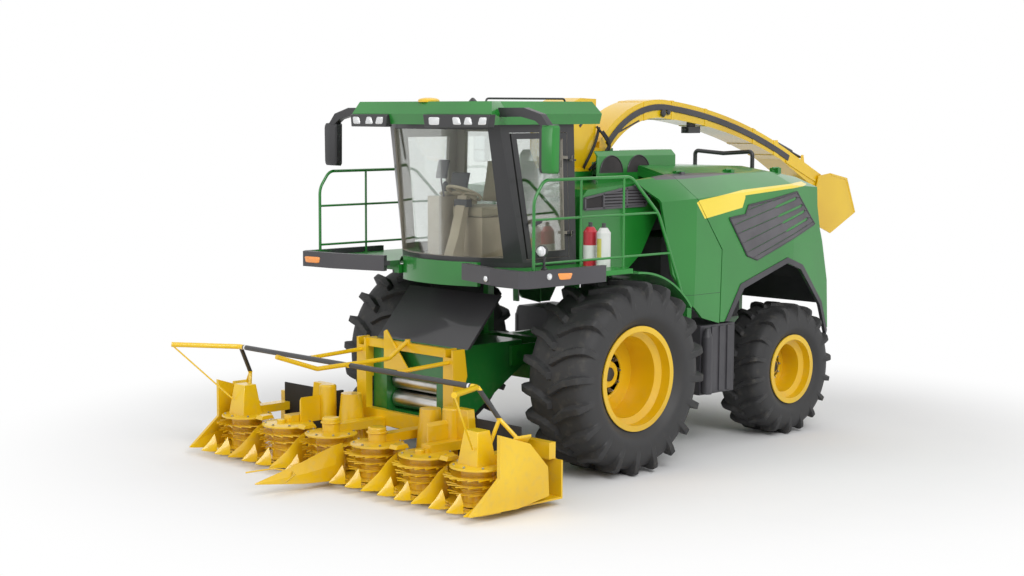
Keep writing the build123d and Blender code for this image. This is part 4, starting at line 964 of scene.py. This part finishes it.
def ridged(x, stations):
    """A row point from stations of y, half width, foot and ridge height."""
    rows = []
    for y, half, low, high in stations:
        waist, middle = half * 0.96, low + 0.5 * (high - low)
        rows.append([(x - half, y, low), (x + half, y, low), (x + waist, y, middle), (x, y, high),
                     (x - waist, y, middle)])
    return loft(rows)


points = [ridged(x, SMALL_POINT) for x in SMALL_XS]
points += [brick((x - 0.03, x + 0.03), (-4.006, -3.912), (0.056, 0.0715)) for x in SMALL_XS]
points += [ridged(x, LONG_POINT) for x in (-1.5, -0.75, 0.75, 1.5)]
points += [ridged(x, END_POINT) for x in (-2.235, 2.235)]
points.append(ridged(0.0, MIDDLE_POINT))
row_points = add_piece("row_points", points, yellow_paint, "header", bevel=0.004)
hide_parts("header_dividers")
add_piece("crop_springs", both([pipe(SPRING_PATH, 0.008, 0.03)]), yellow_paint, "header")

# %% [markdown]
# Above the rotors sit their gear housings: tapered boxes on the outer covers, tall round ones on
# the middle pair, and plain bosses between. Dark rubber curtains hang behind the outer rotors.
# They stand on the CAD's frame, which keeps its own faces.

# %% Header housings and curtains
COVER = [(0.2805, 0.447), (0.2805, 0.456), (0.225, 0.470), (0.01, 0.471)]
TALL = [(0.095, 0.455), (0.095, 0.61), (0.085, 0.622), (0.03, 0.626)]
COLLAR = [(0.110, 0.56), (0.110, 0.578), (0.09, 0.58)]
BOSS = [(0.045, 0.455), (0.045, 0.505), (0.03, 0.512)]
INNER_HOUSING = [(0.095, 0.456), (0.095, 0.835), (0.08, 0.850), (0.02, 0.852)]
BRACKET = [(-0.33, 1.36), (-0.33, 1.48), (-0.29, 1.50), (0.06, 1.11), (0.06, 1.08), (-0.33, 1.08)]
housings = [upright(x, ROTOR_Y, COVER, 48) for x in ROTOR_XS]
housings += [tapered(x, ROTOR_Y - 0.02, (0.14, 0.13), (0.095, 0.08), (0.455, 0.80)) for x in ROTOR_XS[::5]]
housings += [upright(x, ROTOR_Y, profile) for x in ROTOR_XS[2:4] for profile in (TALL, COLLAR)]
housings += [upright(x, ROTOR_Y - 0.09, BOSS, 24) for x in ROTOR_XS[1::3]]
housings += both([
    upright(1.0, -3.19, INNER_HOUSING),
    tapered(1.14, -3.15, (0.15, 0.05), (0.10, 0.05), (0.456, 0.85)),
    prism("Y", [(2.272, 0.775), (2.272, 0.750), (2.030, 0.456), (1.995, 0.456)], -3.56, -3.33),
    prism("Y", [(1.020, 0.456), (1.045, 0.456), (1.045, 0.70), (1.020, 0.74)], -3.55, -3.20),
    tapered(1.5, -3.68, (0.06, 0.09), (0.05, 0.07), (0.456, 0.50)),
    tapered(0.75, -3.68, (0.06, 0.09), (0.05, 0.07), (0.456, 0.50)),
])
housings.append(prism("Y", BRACKET, -2.955, -2.932))
add_piece("header_housings", housings, yellow_paint, "header", bevel=0.005)
curtain = [brick((1.0, 1.9), (-3.100, -3.084), (0.095, 0.76)),
           brick((1.0, 1.03), (-3.084, -2.962), (0.46, 0.76))]
add_piece("header_curtains", both(curtain), dark_rubber, "header", bevel=0.004)
COVER_BOLTS, BOLT_R, BOLT_Z = 8, 0.24, 0.467
turns = np.arange(COVER_BOLTS) * 2 * pi / COVER_BOLTS + 0.2
heads = [(x + BOLT_R * cos(turn), ROTOR_Y + BOLT_R * sin(turn), BOLT_Z) for x in ROTOR_XS for turn in turns]
add_piece("header_bolts", bolts(heads, UP, 0.011, 0.012), zinc, "header")

# %% [markdown]
# A lamp's lens is not clear: its back is pressed into ribs that spread the light, which read as
# fine stripes from outside. A wave texture gives the ribs to both the colour and the bump.


# %% Lamp lenses
def ribbed_lens(name, letter, scale, light, deep, rough, metal, strength):
    """A coated lens with ribs across one axis, scale of them to the metre."""
    glass = Finish(name)
    ribs = glass.waves(letter, scale)
    return glass.surface(Base_Color=glass.blend(ribs, light, deep), Roughness=rough + ribs * 0.1,
                         Coat_Weight=1.0, Metallic=metal, Normal=glass.bump(ribs, strength, 0.002))


lamp_white = ribbed_lens("lamp_lens", "X", 22.0, "f2f2f2", "bfc3c6", 0.12, 0.25, 0.4)
lamp_amber = ribbed_lens("amber_lens", "Z", 30.0, "ffa64d", "f08a24", 0.18, 0.0, 0.3)

# %% [markdown]
# The roof carries a black lamp bar across its brow, broken in the middle, with work lamps behind
# clear lenses. A handrail for the cleaner runs along the top, and a low dome covers the receiver.

# %% Roof fittings and lamps
BROW_Y, BAR_HIGH, BAR_LOW = -2.768, 3.795, 3.66
LAMP_BARS = (
    # inner and outer end, and how far each end slants in
    (0.090, 1.100, 0.03, 0.02),
    (-1.100, -0.485, 0.015, 0.02),
)
VISOR_LAMPS = (
    # outline in x and z, from its left foot round against the clock
    ((0.190, 3.685), (0.345, 3.685), (0.350, 3.768), (0.180, 3.768)),
    ((0.560, 3.690), (0.680, 3.690), (0.650, 3.768), (0.545, 3.768)),
    ((0.715, 3.690), (0.850, 3.690), (0.820, 3.768), (0.745, 3.768)),
    ((0.925, 3.690), (1.045, 3.690), (1.060, 3.768), (0.955, 3.768)),
)
bars = [prism("Y", [(low, BAR_HIGH), (low + slope_in, BAR_LOW), (high - slope_out, BAR_LOW),
                    (high, BAR_HIGH)],
              BROW_Y, -2.68) for low, high, slope_in, slope_out in LAMP_BARS]
add_piece("lamp_bars", bars, black_paint, bevel=0.008)


def brow_lens(lamp):
    """A lens on the brow's face."""
    flat = rounded(lamp)
    return lens(np.insert(flat, 1, BROW_Y, axis=1), (0, -0.010, 0))


lamps = [brow_lens(lamp) for lamp in VISOR_LAMPS]
add_piece("visor_lamps", lamps + mirrored(lamps[1:]), lamp_white)
RAIL_PATH = [(0.5, -2.24, 3.90), (0.5, -2.24, 3.962), (0.5, -1.04, 3.962), (0.5, -1.04, 3.90)]
STUMP = [(0.045, 3.925), (0.045, 3.937), (0.024, 3.961), (0.010, 3.973)]
DOME = [(0.115, 3.925), (0.115, 3.943), (0.105, 3.955), (0.075, 3.965), (0.03, 3.971)]
add_piece("roof_rail", [pipe(RAIL_PATH, 0.011, 0.04), upright(0, -1.957, STUMP, 24)], black_paint)
add_piece("roof_dome", [upright(0, -2.6, DOME)], yellow_paint)

# %% [markdown]
# Each mirror hangs from the roof's corner on a flat arm that droops outwards. Its housing is a
# tall shell, green in front on the machine's left and black elsewhere, with two glasses behind.

# %% Mirrors
MIRROR_X, MIRROR_Z, HEAD_MIDDLE = 1.700, 3.454, 0.244
ARM = ((1.020, 3.865), (1.380, 3.865), (1.620, 3.800), (1.722, 3.690), (1.640, 3.672), (1.540, 3.735),
       (1.340, 3.775), (1.020, 3.770))
HEAD = ((-0.105, 0.025), (-0.085, 0.0), (0.085, 0.0), (0.105, 0.020), (0.112, 0.460), (0.090, 0.488),
        (-0.090, 0.488), (-0.110, 0.470))
HEAD_ROWS = ((-2.578, 0.82), (-2.560, 0.97), (-2.486, 1.0), (-2.482, 0.98))
mirror_silver = matt("mirror_glass", "e8ecef", "dde2e6", 0.04, 20.0, 0.0001, metal=1.0)
rows = [[(MIRROR_X + x * share, y, MIRROR_Z + (z - HEAD_MIDDLE) * share) for x, z in HEAD]
        for y, share in HEAD_ROWS]
housing = [loft(rows), prism("Y", ARM, -2.570, -2.490)]
glasses = [slab([(MIRROR_X + x, -2.482, z) for x, z in ((-0.09, low), (0.09, low), (0.09, high),
                                                        (-0.09, high))],
                (0, 0, 0), (0, 0.003, 0), 0.002) for low, high in ((3.225, 3.350), (3.360, 3.680))]
for side_name, side in SIDES:
    mirror_enamel = nodes["mirrors"].material_slots[0].material
    shell = add_piece(f"mirror_{side_name}", on_side(side, housing), mirror_enamel, bevel=0.006)
    if side == 1:
        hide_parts("mirrors")
    add_piece(f"mirror_glass_{side_name}", on_side(side, glasses), mirror_silver)

# %% [markdown]
# The railings are bent from round tube: a top rail rises at the platform's front corner, runs back
# and slants down to the fender's foot, with two rails below and posts that tie them.

# %% Railings
RAIL_X, DECK_TOP, FOOT = 1.695, 2.195, [(0.036, 2.200), (0.036, 2.210), (0.018, 2.212)]
TOP_RAIL = ((-2.730, 2.195), (-2.730, 2.960), (-2.590, 3.150), (-1.290, 3.150), (-0.845, 2.750),
            (-0.510, 2.020), (-0.430, 1.830))
LOW_RAILS = [((-2.730, z), (-1.5, z), (back, z)) for z, back in ((2.760, -0.850), (2.320, -0.660))]
POSTS = [((y, DECK_TOP), (y, 2.7), (y, 3.150)) for y in (-2.050, -1.400)]
rails = [pipe([(RAIL_X, y, z) for y, z in TOP_RAIL], 0.017, 0.07)]
rails += [pipe([(RAIL_X, y, z) for y, z in run], 0.013) for run in LOW_RAILS + POSTS]
rails += [upright(RAIL_X, y, FOOT, 20) for y in (-2.730, -2.050, -1.400)]
railing = add_piece("railing_tubes", both(rails), green_paint)
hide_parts("railings")

# %% [markdown]
# On the front hood two air boxes stand beside the spout's turret, each with two round screened
# mouths, and louvres let air into the side. The turret turns, so the boxes are hollowed out
# round it with a circle about its axis.

# %% Air boxes and their mouths
TURRET_Y, CLEAR_R = -0.480, 0.612
BOX_LEVELS = ((0.620, 2.990), (0.620, 3.325), (0.556, 3.385))
MOUTH_YS, MOUTH_Z, MOUTH_R = (-0.400, 0.060), 3.140, 0.19
hollow = np.linspace(np.arctan2(0.456, 0.350), np.arctan2(-0.140, 0.558), 14)
inner = np.column_stack([CLEAR_R * np.cos(hollow), TURRET_Y + CLEAR_R * np.sin(hollow)])
plan = np.concatenate([[(0.620, -0.620), (0.620, 0.710), (0.350, 0.710)], inner])
box = loft([np.column_stack([np.minimum(plan[:, 0], limit), plan[:, 1], np.full(len(plan), z)])
            for limit, z in BOX_LEVELS])
add_piece("air_boxes", both([box]), green_paint, bevel=0.006)
# A black with a mesh grain: the colour of the round mouths' screens, and painted shade behind the hood's
# louvres.
screen_and_shade_black = matt("screen_mesh_and_shade", "3a3436", "262224", 0.7, 700.0, 0.002)
half_turn = np.linspace(0, pi, 33)
arch = np.column_stack([np.cos(half_turn), np.sin(half_turn)])
screens = [prism("X", (y, MOUTH_Z) + (MOUTH_R - 0.003) * arch, 0.617, 0.6215) for y in MOUTH_YS]
rims = [np.insert((y, MOUTH_Z) + MOUTH_R * arch, 0, 0.621, axis=1) for y in MOUTH_YS]
rings = [tube(rim, 0.008, 10, smooth=False) for rim in rims]
add_piece("air_mouths", both(screens), screen_and_shade_black)
add_piece("air_mouth_rings", both(rings), black_paint)

# %% Side louvres of the front hood
VENT_FRAME = [(-1.195, 2.775), (-0.215, 2.780), (0.020, 3.040), (-0.600, 2.975), (-1.000, 2.925),
              (-1.195, 2.895)]
VENT_RUNS = [((-1.195, 2.775), (-0.215, 2.780)), ((-0.215, 2.780), (0.020, 3.040)),
             ((-1.195, 2.895), (-0.600, 2.975)),
             ((-0.600, 2.975), (0.020, 3.040)), ((-1.195, 2.775), (-1.195, 2.895)),
             ((-0.900, 2.776), (-0.900, 2.932)), ((-0.520, 2.778), (-0.520, 2.984))]
VENT_SLATS, SLAT_PITCH, STRIP_HALF, STRIP_OVER = 7, 0.034, 0.012, 0.006


def vent_slat(z):
    """One louvre from the vent's front edge to its slanted rear edge."""
    ends = max(-0.885, -1.0 + (z - 2.925) / 0.13), -0.225 + (z - 2.800) * 0.85
    return loft([[(0.953, y, z - 0.010), (0.966, y, z - 0.006), (0.966, y, z + 0.008), (0.953, y, z + 0.016)]
                 for y in ends])


def vent_strip(start, end):
    """A flat strip along one run of the vent's frame."""
    start, end = np.array(start), np.array(end)
    along = (end - start) / np.linalg.norm(end - start)
    side, over = np.array((-along[1], along[0])) * STRIP_HALF, along * STRIP_OVER
    return prism("X", [start - side - over, end - side + over, end + side + over, start + side - over], 0.951,
                 0.969)


# The vent's backing is a black sheet with a mesh grain behind the louvres: painted shade for the dark inside
# of the vent.
add_piece("vent_shade_backing", both([prism("X", VENT_FRAME, 0.9502, 0.953)]), screen_and_shade_black)
louvres = [vent_slat(2.800 + row * SLAT_PITCH) for row in range(VENT_SLATS)]
louvres += [vent_strip(start, end) for start, end in VENT_RUNS]
add_piece("vent_louvres", both(louvres), grey_plastic, bevel=0.002)

# %% [markdown]
# The cooling grille fills most of each service door: seven wide slats of grey plastic, split by
# thin dark gaps that open wide in the rear half. Each gap is a line given by its height at
# y = 1.2, its slope, where it starts, where it widens and where it ends. A slat is a band between
# two gaps, clipped by the outline, and both its faces follow the door's skin.

# %% Cooling grille
GRILLE_LOW = ((0.677, 2.623), (1.010, 2.183), (1.198, 2.125), (2.337, 2.487))
GRILLE_HIGH = ((0.677, 2.623), (0.973, 2.652), (1.027, 2.755), (1.485, 2.809), (1.955, 2.880), (2.337, 2.487))
GAPS = (
    # height at y = 1.2, slope, start, wide from, end
    (2.178, 0.307, 1.199, 9.000, 2.185),
    (2.277, 0.283, 1.045, 1.743, 2.202),
    (2.405, 0.265, 0.965, 1.671, 2.136),
    (2.525, 0.223, 0.877, 1.589, 2.083),
    (2.643, 0.222, 0.781, 1.526, 1.958),
    (2.745, 0.211, 1.047, 1.465, 1.865),
)
GAP_Y, THIN_HALF, WIDE_MORE, LEAST_SLAT = 1.2, 0.005, 0.013, 0.004


def gap_half(y, start, wide, end):
    """Half of a gap's width at y: nothing before it starts and after it ends, wide in its rear."""
    inside = soft_step((y - start) / 0.03) * soft_step((end - y) / 0.03)
    return inside * (THIN_HALF + WIDE_MORE * soft_step((y - wide) / 0.02))


def slat_between(below, above):
    """The band between two gaps as a closed grid: stations along Y, six corners a station."""
    y = np.linspace(GRILLE_LOW[0][0], GRILLE_LOW[-1][0], 120)
    low = np.interp(y, *zip(*GRILLE_LOW))
    high = np.interp(y, *zip(*GRILLE_HIGH))
    if below:
        z, slope, *span = below
        low = np.maximum(low, z + slope * (y - GAP_Y) + gap_half(y, *span))
    if above:
        z, slope, *span = above
        high = np.minimum(high, z + slope * (y - GAP_Y) - gap_half(y, *span))
    keep = high - low > LEAST_SLAT
    y, low, high = y[keep], low[keep], high[keep]
    rim = np.minimum(0.006, (high - low) / 3)
    corners = [(low, -0.002), (low, 0.010), (low + rim, 0.016), (high - rim, 0.009), (high, 0.004),
               (high, -0.002)]
    return loft(np.stack([np.column_stack([skin_x(y, z) + out, y, z]) for z, out in corners], axis=1))


slats = [slat_between(below, above) for below, above in zip((None, *GAPS), (*GAPS, None))]
edge = np.array(GRILLE_HIGH + GRILLE_LOW[::-1][1:])
border = []
for start, end in zip(edge, edge[1:]):
    y, z = (start + (end - start) * np.linspace(0, 1, 12)[:, None]).T
    border.append(tube(np.column_stack([skin_x(y, z) + 0.006, y, z]), 0.012, 10, smooth=False))

# %% [markdown]
# A dark plastic trim guards the rear wheel arch's edge. It is a band of constant width along the
# arch, laid on the skin. Trim and grille swing up with their service door.

# %% Wheel arch trim
ARCH = ((0.721, 1.449), (0.970, 1.804), (1.780, 2.051), (2.060, 1.960), (2.520, 1.500), (2.700, 1.110))
WIDE = ((0.655, 1.449), (0.915, 1.862), (1.785, 2.116), (2.105, 2.010), (2.568, 1.530), (2.728, 1.170))


def divided(corners, parts=7):
    """The corners of a line with each run divided into equal parts."""
    corners = np.array(corners)
    shares = np.linspace(0, 1, parts + 1)[:-1, None]
    return np.concatenate([a + (b - a) * shares for a, b in zip(corners, corners[1:])] + [corners[-1:]])


inner, outer = divided(ARCH), divided(WIDE)
trim = [np.column_stack([skin_x(line[:, 0], line[:, 1]) + lift, line])
        for line, lift in ((inner, -0.030), (inner, 0.014), (outer, 0.010), (outer, -0.003))]
trim = [loft(np.stack(trim, axis=1))]
for side_name, side in SIDES:
    door = f"service_door_{side_name}"
    add_piece(f"grille_slats_{side_name}", on_side(side, slats), grey_plastic, door, smooth=False)
    add_piece(f"grille_border_{side_name}", on_side(side, border), black_plastic, door)
    add_piece(f"arch_trim_{side_name}", on_side(side, trim), black_plastic, door, smooth=False)

# %% [markdown]
# The spout is a box of sheet steel with stiffening bands, and a dark duct for hoses follows its
# left side. The arm's two edges are the CAD's arcs, so a band finds its ends by interpolation.

# %% Spout bands and duct
ARM_TOP = np.concatenate([arc((-0.140, 3.480), (0.380, 3.860), (1.005, 3.959)),
                          arc((1.005, 3.959), (2.247, 3.742), (3.498, 3.302))[1:]])
ARM_LOW = np.concatenate([arc((-0.060, 3.250), (0.350, 3.620), (0.919, 3.746)),
                          arc((0.919, 3.746), (2.055, 3.590), (3.288, 3.215))[1:]])
BANDS = (
    # start along Y and width
    (0.620, 0.060),
    (1.120, 0.045),
    (1.750, 0.045),
    (2.700, 0.060),
    (3.140, 0.100),
)
BAND_LIFT, BAND_X = 0.006, 0.208


def arm_band(start, width):
    """A band round the arm between two places along it."""
    y = np.linspace(start, start + width, 4)
    low = np.column_stack([y, np.interp(y, *ARM_LOW.T) - BAND_LIFT])
    top = np.column_stack([y, np.interp(y, *ARM_TOP.T) + BAND_LIFT])
    return prism("X", np.concatenate([low, top[::-1]]), -BAND_X, BAND_X)


add_piece("spout_bands", [arm_band(*band) for band in BANDS], yellow_paint, "spout", bevel=0.003)
duct = np.concatenate([arc((-0.040, 3.465), (0.410, 3.806), (1.010, 3.905)),
                       arc((1.010, 3.905), (2.230, 3.690), (3.470, 3.258))[1:],
                       arc((3.440, 3.190), (2.200, 3.622), (1.000, 3.835)),
                       arc((1.000, 3.835), (0.440, 3.740), (0.020, 3.425))[1:]])
add_piece("spout_duct", [prism("X", duct, 0.199, 0.216)], black_plastic, "spout", bevel=0.005)

# %% [markdown]
# Hoses feed the spout's motors. They are clamped at both ends and stiff with pressure, so they are
# plain bent tubes that turn with the turret. A sight slot and four small louvres mark the turret's
# cheek: thin black sheets that are painted shade for the dark inside of their openings.

# %% Turret hoses and slots
HOSES = (
    # radius and path
    (0.017, ((0.262, -0.220, 3.640), (0.300, -0.307, 3.502), (0.310, -0.390, 3.373), (0.300, -0.473, 3.245),
             (0.270, -0.492, 3.165))),
    (0.017, ((0.262, -0.160, 3.600), (0.320, -0.113, 3.485), (0.330, -0.132, 3.369), (0.315, -0.217, 3.255),
             (0.295, -0.301, 3.200), (0.270, -0.330, 3.165))),
    (0.014, ((0.262, -0.260, 3.655), (0.345, -0.200, 3.520), (0.350, -0.160, 3.420), (0.335, -0.290, 3.290),
             (0.280, -0.400, 3.165))),
)
CHEEK_X = 0.2502
add_piece("turret_hoses", [tube(path, radius) for radius, path in HOSES], dark_rubber, "spout_base")
# The slot and louvres are thin black sheets: painted shade for the dark inside of the openings.
slots = [prism("X", [(-0.545, 3.665), (-0.335, 3.875), (-0.312, 3.852), (-0.522, 3.642)], CHEEK_X, 0.2545)]
slots += [brick((CHEEK_X, 0.2535), (-0.790, -0.700), (z, z + 0.008)) for z in (3.60, 3.63, 3.66, 3.69)]
add_piece("turret_slot_shade", both(slots), black_paint, "spout_base")

# %% [markdown]
# A camera hangs on the arm, beside two round knobs and a long slot, which is a thin black sheet of
# painted shade. At the arm's end a cylinder between two pairs of ears moves the flap, and round bars
# edge the flap.

# %% Spout camera, slot and flap cylinder
ARM_FACE, ROD_X, EAR_WIDTH = 0.216, 0.09, 0.014
PINS = ((3.30, 3.425), (3.86, 3.227))
BARREL = ((ROD_X, 3.30, 3.425), (ROD_X, 3.45, 3.372), (ROD_X, 3.66, 3.298))
ROD = ((ROD_X, 3.66, 3.298), (ROD_X, 3.76, 3.262), (ROD_X, 3.86, 3.227))
camera_parts = [brick((0.04, 0.16), (1.50, 1.72), (3.560, 3.640)),
                brick((0.07, 0.13), (1.56, 1.66), (3.640, 3.700)),
                lathe((0.10, 1.495, 3.60), (0, -1, 0), [(0.030, 0), (0.030, 0.030), (0.022, 0.034)], 24),
                lathe((ARM_FACE, 0.945, 3.800), LEFT, [(0.042, 0), (0.042, 0.020), (0.03, 0.026)], 24),
                lathe((ARM_FACE, 1.040, 3.812), LEFT, [(0.030, 0), (0.030, 0.018), (0.02, 0.022)], 24)]
add_piece("spout_camera", camera_parts, black_paint, "spout", bevel=0.004)
# The long slot is a thin black sheet: painted shade for the dark inside of the opening.
arm_slot_shade = prism("X", [(0.160, 3.585), (0.540, 3.725), (0.545, 3.708), (0.166, 3.568)], 0.2002, 0.2035)
add_piece("spout_slot_shade", [arm_slot_shade], black_paint, "spout")
add_piece("flap_cylinder", [tube(BARREL, 0.030, 18), tube(ROD, 0.016, 14)], black_paint, "spout")
ears = [prism("X", [(y - 0.05, z - 0.10), (y + 0.05, z - 0.13), (y + 0.02, z + 0.03), (y - 0.02, z + 0.03)],
              low, low + EAR_WIDTH) for y, z in PINS for low in (0.045, 0.121)]
ribs = both([prism("X", [(3.40, 3.20), (4.05, 2.935), (4.05, 2.900), (3.40, 3.165)], 0.200, 0.214)])
add_piece("spout_ears", ears + ribs, yellow_paint, "spout", bevel=0.003)
flap_bar = pipe([(0.226, y, z) for y, z in ((4.365, 2.990), (4.715, 2.920), (4.915, 2.480))], 0.015, 0.05)
add_piece("flap_bars", both([flap_bar]), yellow_paint, "spout_end")

# %% [markdown]
# The bumper carries a round white lamp and an amber marker on its side, a small lamp in front, and
# a work lamp on a stalk. The other platform has its marker in front.

# %% Bumper lamps
STALK_AXIS = (0.35, -1, 0)
SIDE_MARKER = [(1.7805, -2.474, 2.222), (1.7805, -2.440, 2.152), (1.7805, -2.285, 2.150),
               (1.7805, -2.251, 2.213)]
FRONT_MARKER = [(-1.690, -2.9605, 2.205), (-1.670, -2.9605, 2.135), (-1.470, -2.930, 2.135),
                (-1.450, -2.927, 2.205)]
WHITE_LAMPS = (
    # centre, axis and profile
    ((1.780, -2.593, 2.195), LEFT, [(0.034, 0), (0.034, 0.008), (0.028, 0.014), (0.010, 0.018)]),
    ((1.180, -2.888, 2.150), (-0.10, -1, 0), [(0.030, 0), (0.030, 0.008), (0.024, 0.013), (0.010, 0.016)]),
    ((1.742, -2.672, 2.450), STALK_AXIS, [(0.052, 0), (0.050, 0.006), (0.036, 0.014), (0.010, 0.018)]),
)
markers = [lens(rounded(SIDE_MARKER, 0.2), (0.012, 0, 0)), lens(rounded(FRONT_MARKER, 0.2), (0, -0.012, 0))]
add_piece("amber_lamps", markers, lamp_amber)
add_piece("white_lamps", [lathe(*lamp, 28) for lamp in WHITE_LAMPS], lamp_white)
stalk = [lathe((1.720, -2.612, 2.450), STALK_AXIS, [(0.030, 0), (0.056, 0.015), (0.060, 0.062),
                                                    (0.052, 0.063)], 28),
         pipe([(1.715, -2.600, 2.255), (1.715, -2.600, 2.33), (1.718, -2.605, 2.42)], 0.013),
         upright(1.715, -2.600, [(0.035, 2.258), (0.035, 2.270), (0.015, 2.288)], 20)]
add_piece("work_lamp_stalk", stalk, black_paint)

# %% [markdown]
# The column between the wheels is a filter housing that stands against the tank box, whose face
# has pressed ribs. Both are dark plastic.

# %% Tank ribs and filter column
FILTER = [(0.060, 0.660), (0.060, 1.310), (0.050, 1.325), (0.030, 1.405), (0.012, 1.410)]
tank = [brick((1.438, 1.456), (y, y + 0.09), (0.665, 1.410)) for y in (0.397, 0.537, 0.677)]
tank += [upright(1.485, 0.277, FILTER, 32), brick((1.42, 1.485), (0.247, 0.307), (0.665, 1.28))]
add_piece("tank_ribs", both(tank), black_plastic, bevel=0.006)

# %% [markdown]
# Inside the cab the seat is padded. Each cushion starts as a box a little too small, is remeshed
# into even cells and blown up by cloth pressure, so that its faces crown and its sides pull in
# between the corners. How far a point may move is capped, and one subdivision smooths it.

# %% Cab trim and woven cloth
cab_trim = matt("cab_trim", "c3b59f", "b0a28c", 0.55, 500.0, 0.0004)
dress("cab_console", cab_trim)
cloth = Finish("woven_cloth")
weave = cloth.waves("X", 60.0) * cloth.waves("Z", 60.0)
seat_cloth = cloth.surface(Base_Color=cloth.blend(weave, "9c907a", "c9bba2"), Roughness=0.86,
                           Sheen_Weight=0.3, Normal=cloth.bump(weave, 0.3, 0.001))

# %% Seat cushions
SWELL_FRAMES, VOXEL, PRESSURE = 20, 0.013, 4.0


def coordinates(mesh):
    """The places of a mesh's points, one row each."""
    places = np.empty(len(mesh.vertices) * 3, np.float32)
    mesh.vertices.foreach_get("co", places)
    return places.reshape(-1, 3)


def evaluated(piece):
    """The piece as its modifiers leave it."""
    return piece.evaluated_get(bpy.context.evaluated_depsgraph_get())


def swollen(name, shell, cap):
    """A cushion blown up from a box by cloth pressure, no point moving further than cap."""
    piece = add_piece(name, [shell], seat_cloth, smooth=False)
    remesh = piece.modifiers.new("even_cells", "REMESH")
    remesh.mode, remesh.voxel_size = "VOXEL", VOXEL
    bpy.context.view_layer.update()
    cells = bpy.data.meshes.new_from_object(evaluated(piece))
    piece.modifiers.clear()
    piece.data = cells
    swell = piece.modifiers.new("swell", "CLOTH")
    swell.settings.use_pressure = True
    swell.settings.uniform_pressure_force = PRESSURE
    swell.settings.effector_weights.gravity = 0.0
    for frame_number in range(1, SWELL_FRAMES + 1):
        bpy.context.scene.frame_set(frame_number)
    start = coordinates(cells)
    step = coordinates(evaluated(piece).to_mesh()) - start
    piece.modifiers.clear()
    reach = np.linalg.norm(step, axis=1, keepdims=True)
    step *= np.minimum(1.0, cap / np.maximum(reach, 1e-9))
    cells.vertices.foreach_set("co", (start + step).ravel())
    bpy.context.scene.frame_set(1)
    cells.polygons.foreach_set("use_smooth", np.ones(len(cells.polygons), bool))
    smooth = piece.modifiers.new("smooth", "SUBSURF")
    smooth.levels = smooth.render_levels = 1
    print(name, len(cells.polygons), "cells")
    return piece


BACK = [(-1.625, 2.825), (-1.560, 2.825), (-1.475, 3.290), (-1.535, 3.290)]
HEADREST = [(-1.530, 3.325), (-1.475, 3.325), (-1.462, 3.465), (-1.520, 3.465)]
cushion = swollen("seat_cushion", brick((-0.245, 0.245), (-2.045, -1.555), (2.695, 2.795)), 0.014)
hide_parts("cab_seat")
swollen("seat_back", prism("X", BACK, -0.215, 0.215), 0.014)
swollen("seat_headrest", prism("X", HEADREST, -0.125, 0.125), 0.010)
swollen("armrest_pad", brick((-0.46, -0.32), (-2.04, -1.66), (2.905, 2.945)), 0.008)
stays = [pipe([(x, -1.515, 3.285), (x, -1.505, 3.31), (x, -1.500, 3.335)], 0.007) for x in (-0.06, 0.06)]
add_piece("headrest_stays", stays, zinc)

# %% Cab controls and screens
SCREEN_LEAN, SCREEN_FOOT = 0.25, 3.0
SCREENS = (
    # left, right, foot, head, y at the foot height, thickness
    (-0.13, 0.13, 3.00, 3.17, -2.155, 0.028),
    (-0.36, -0.20, 3.10, 3.30, -2.180, 0.025),
)
LEVER = [(0.020, 2.90), (0.014, 2.95), (0.026, 2.99), (0.028, 3.04), (0.010, 3.06)]
controls = [slab([(x, y + (z - SCREEN_FOOT) * SCREEN_LEAN, z)
                  for x, z in ((left, foot), (right, foot), (right, head), (left, head))],
                 (0, 0, 0), (0, -thick, 0), 0.008) for left, right, foot, head, y, thick in SCREENS]
controls += [upright(-0.39, -2.00, LEVER, 20), brick((-0.10, 0.10), (-2.14, -2.06), (2.80, 2.88)),
             pipe([(-0.28, -2.12, 2.90), (-0.28, -2.16, 3.05), (-0.28, -2.17, 3.14)], 0.010)]
add_piece("cab_screens", controls, black_plastic, bevel=0.003)
GRIP = [(0.962, -2.020, 2.62), (0.962, -1.880, 2.66), (0.962, -1.880, 2.70), (0.962, -2.020, 2.66)]
add_piece("door_handle", [slab(GRIP, (0, 0, 0), (0.03, 0, 0), 0.006)], black_plastic, "cab_door", bevel=0.004)

# %% [markdown]
# At the tail the panel between the doors has a wide slatted screen, and a lamp cluster stands at
# each side. Both lie on the panel's own slope.

# %% Tail screen and lamps
PANEL_Z, PANEL_Y = (1.500, 1.790, 2.418, 2.700, 3.250), (2.690, 2.645, 2.445, 2.400, 2.400)
SCREEN_ZS, SCREEN_HALF, BAR_WIDTH = np.array((1.86, 2.418, 2.68)), 0.86, 0.022
LAMP_FACE = ((1.02, 2.30), (1.20, 2.30), (1.18, 2.42), (1.02, 2.42))


def tail_y(z):
    """Where the rear panel's outer face lies at a height."""
    return np.interp(z, PANEL_Z, PANEL_Y)


tail = []
for z in np.arange(1.90, 2.66, 0.06):
    y = tail_y(z)
    tail.append(prism("X", [(y - 0.002, z), (y + 0.018, z - 0.004), (y + 0.018, z + 0.008),
                            (y - 0.010, z + 0.030)],
                      -SCREEN_HALF, SCREEN_HALF))
near, far = (np.column_stack([tail_y(SCREEN_ZS) + out, SCREEN_ZS]) for out in (-0.002, 0.022))
tail += [prism("X", np.concatenate([near, far[::-1]]), x, x + BAR_WIDTH) for x in (-0.88, -0.3, 0.28, 0.86)]
add_piece("tail_screen", tail, grey_plastic, bevel=0.002)
for side_name, side in SIDES:
    face = rounded([(side * x, tail_y(z) + 0.002, z) for x, z in LAMP_FACE], 0.2)
    add_piece(f"tail_lamp_{side_name}", [lens(face, (0, 0.015, 0))], lamp_amber)
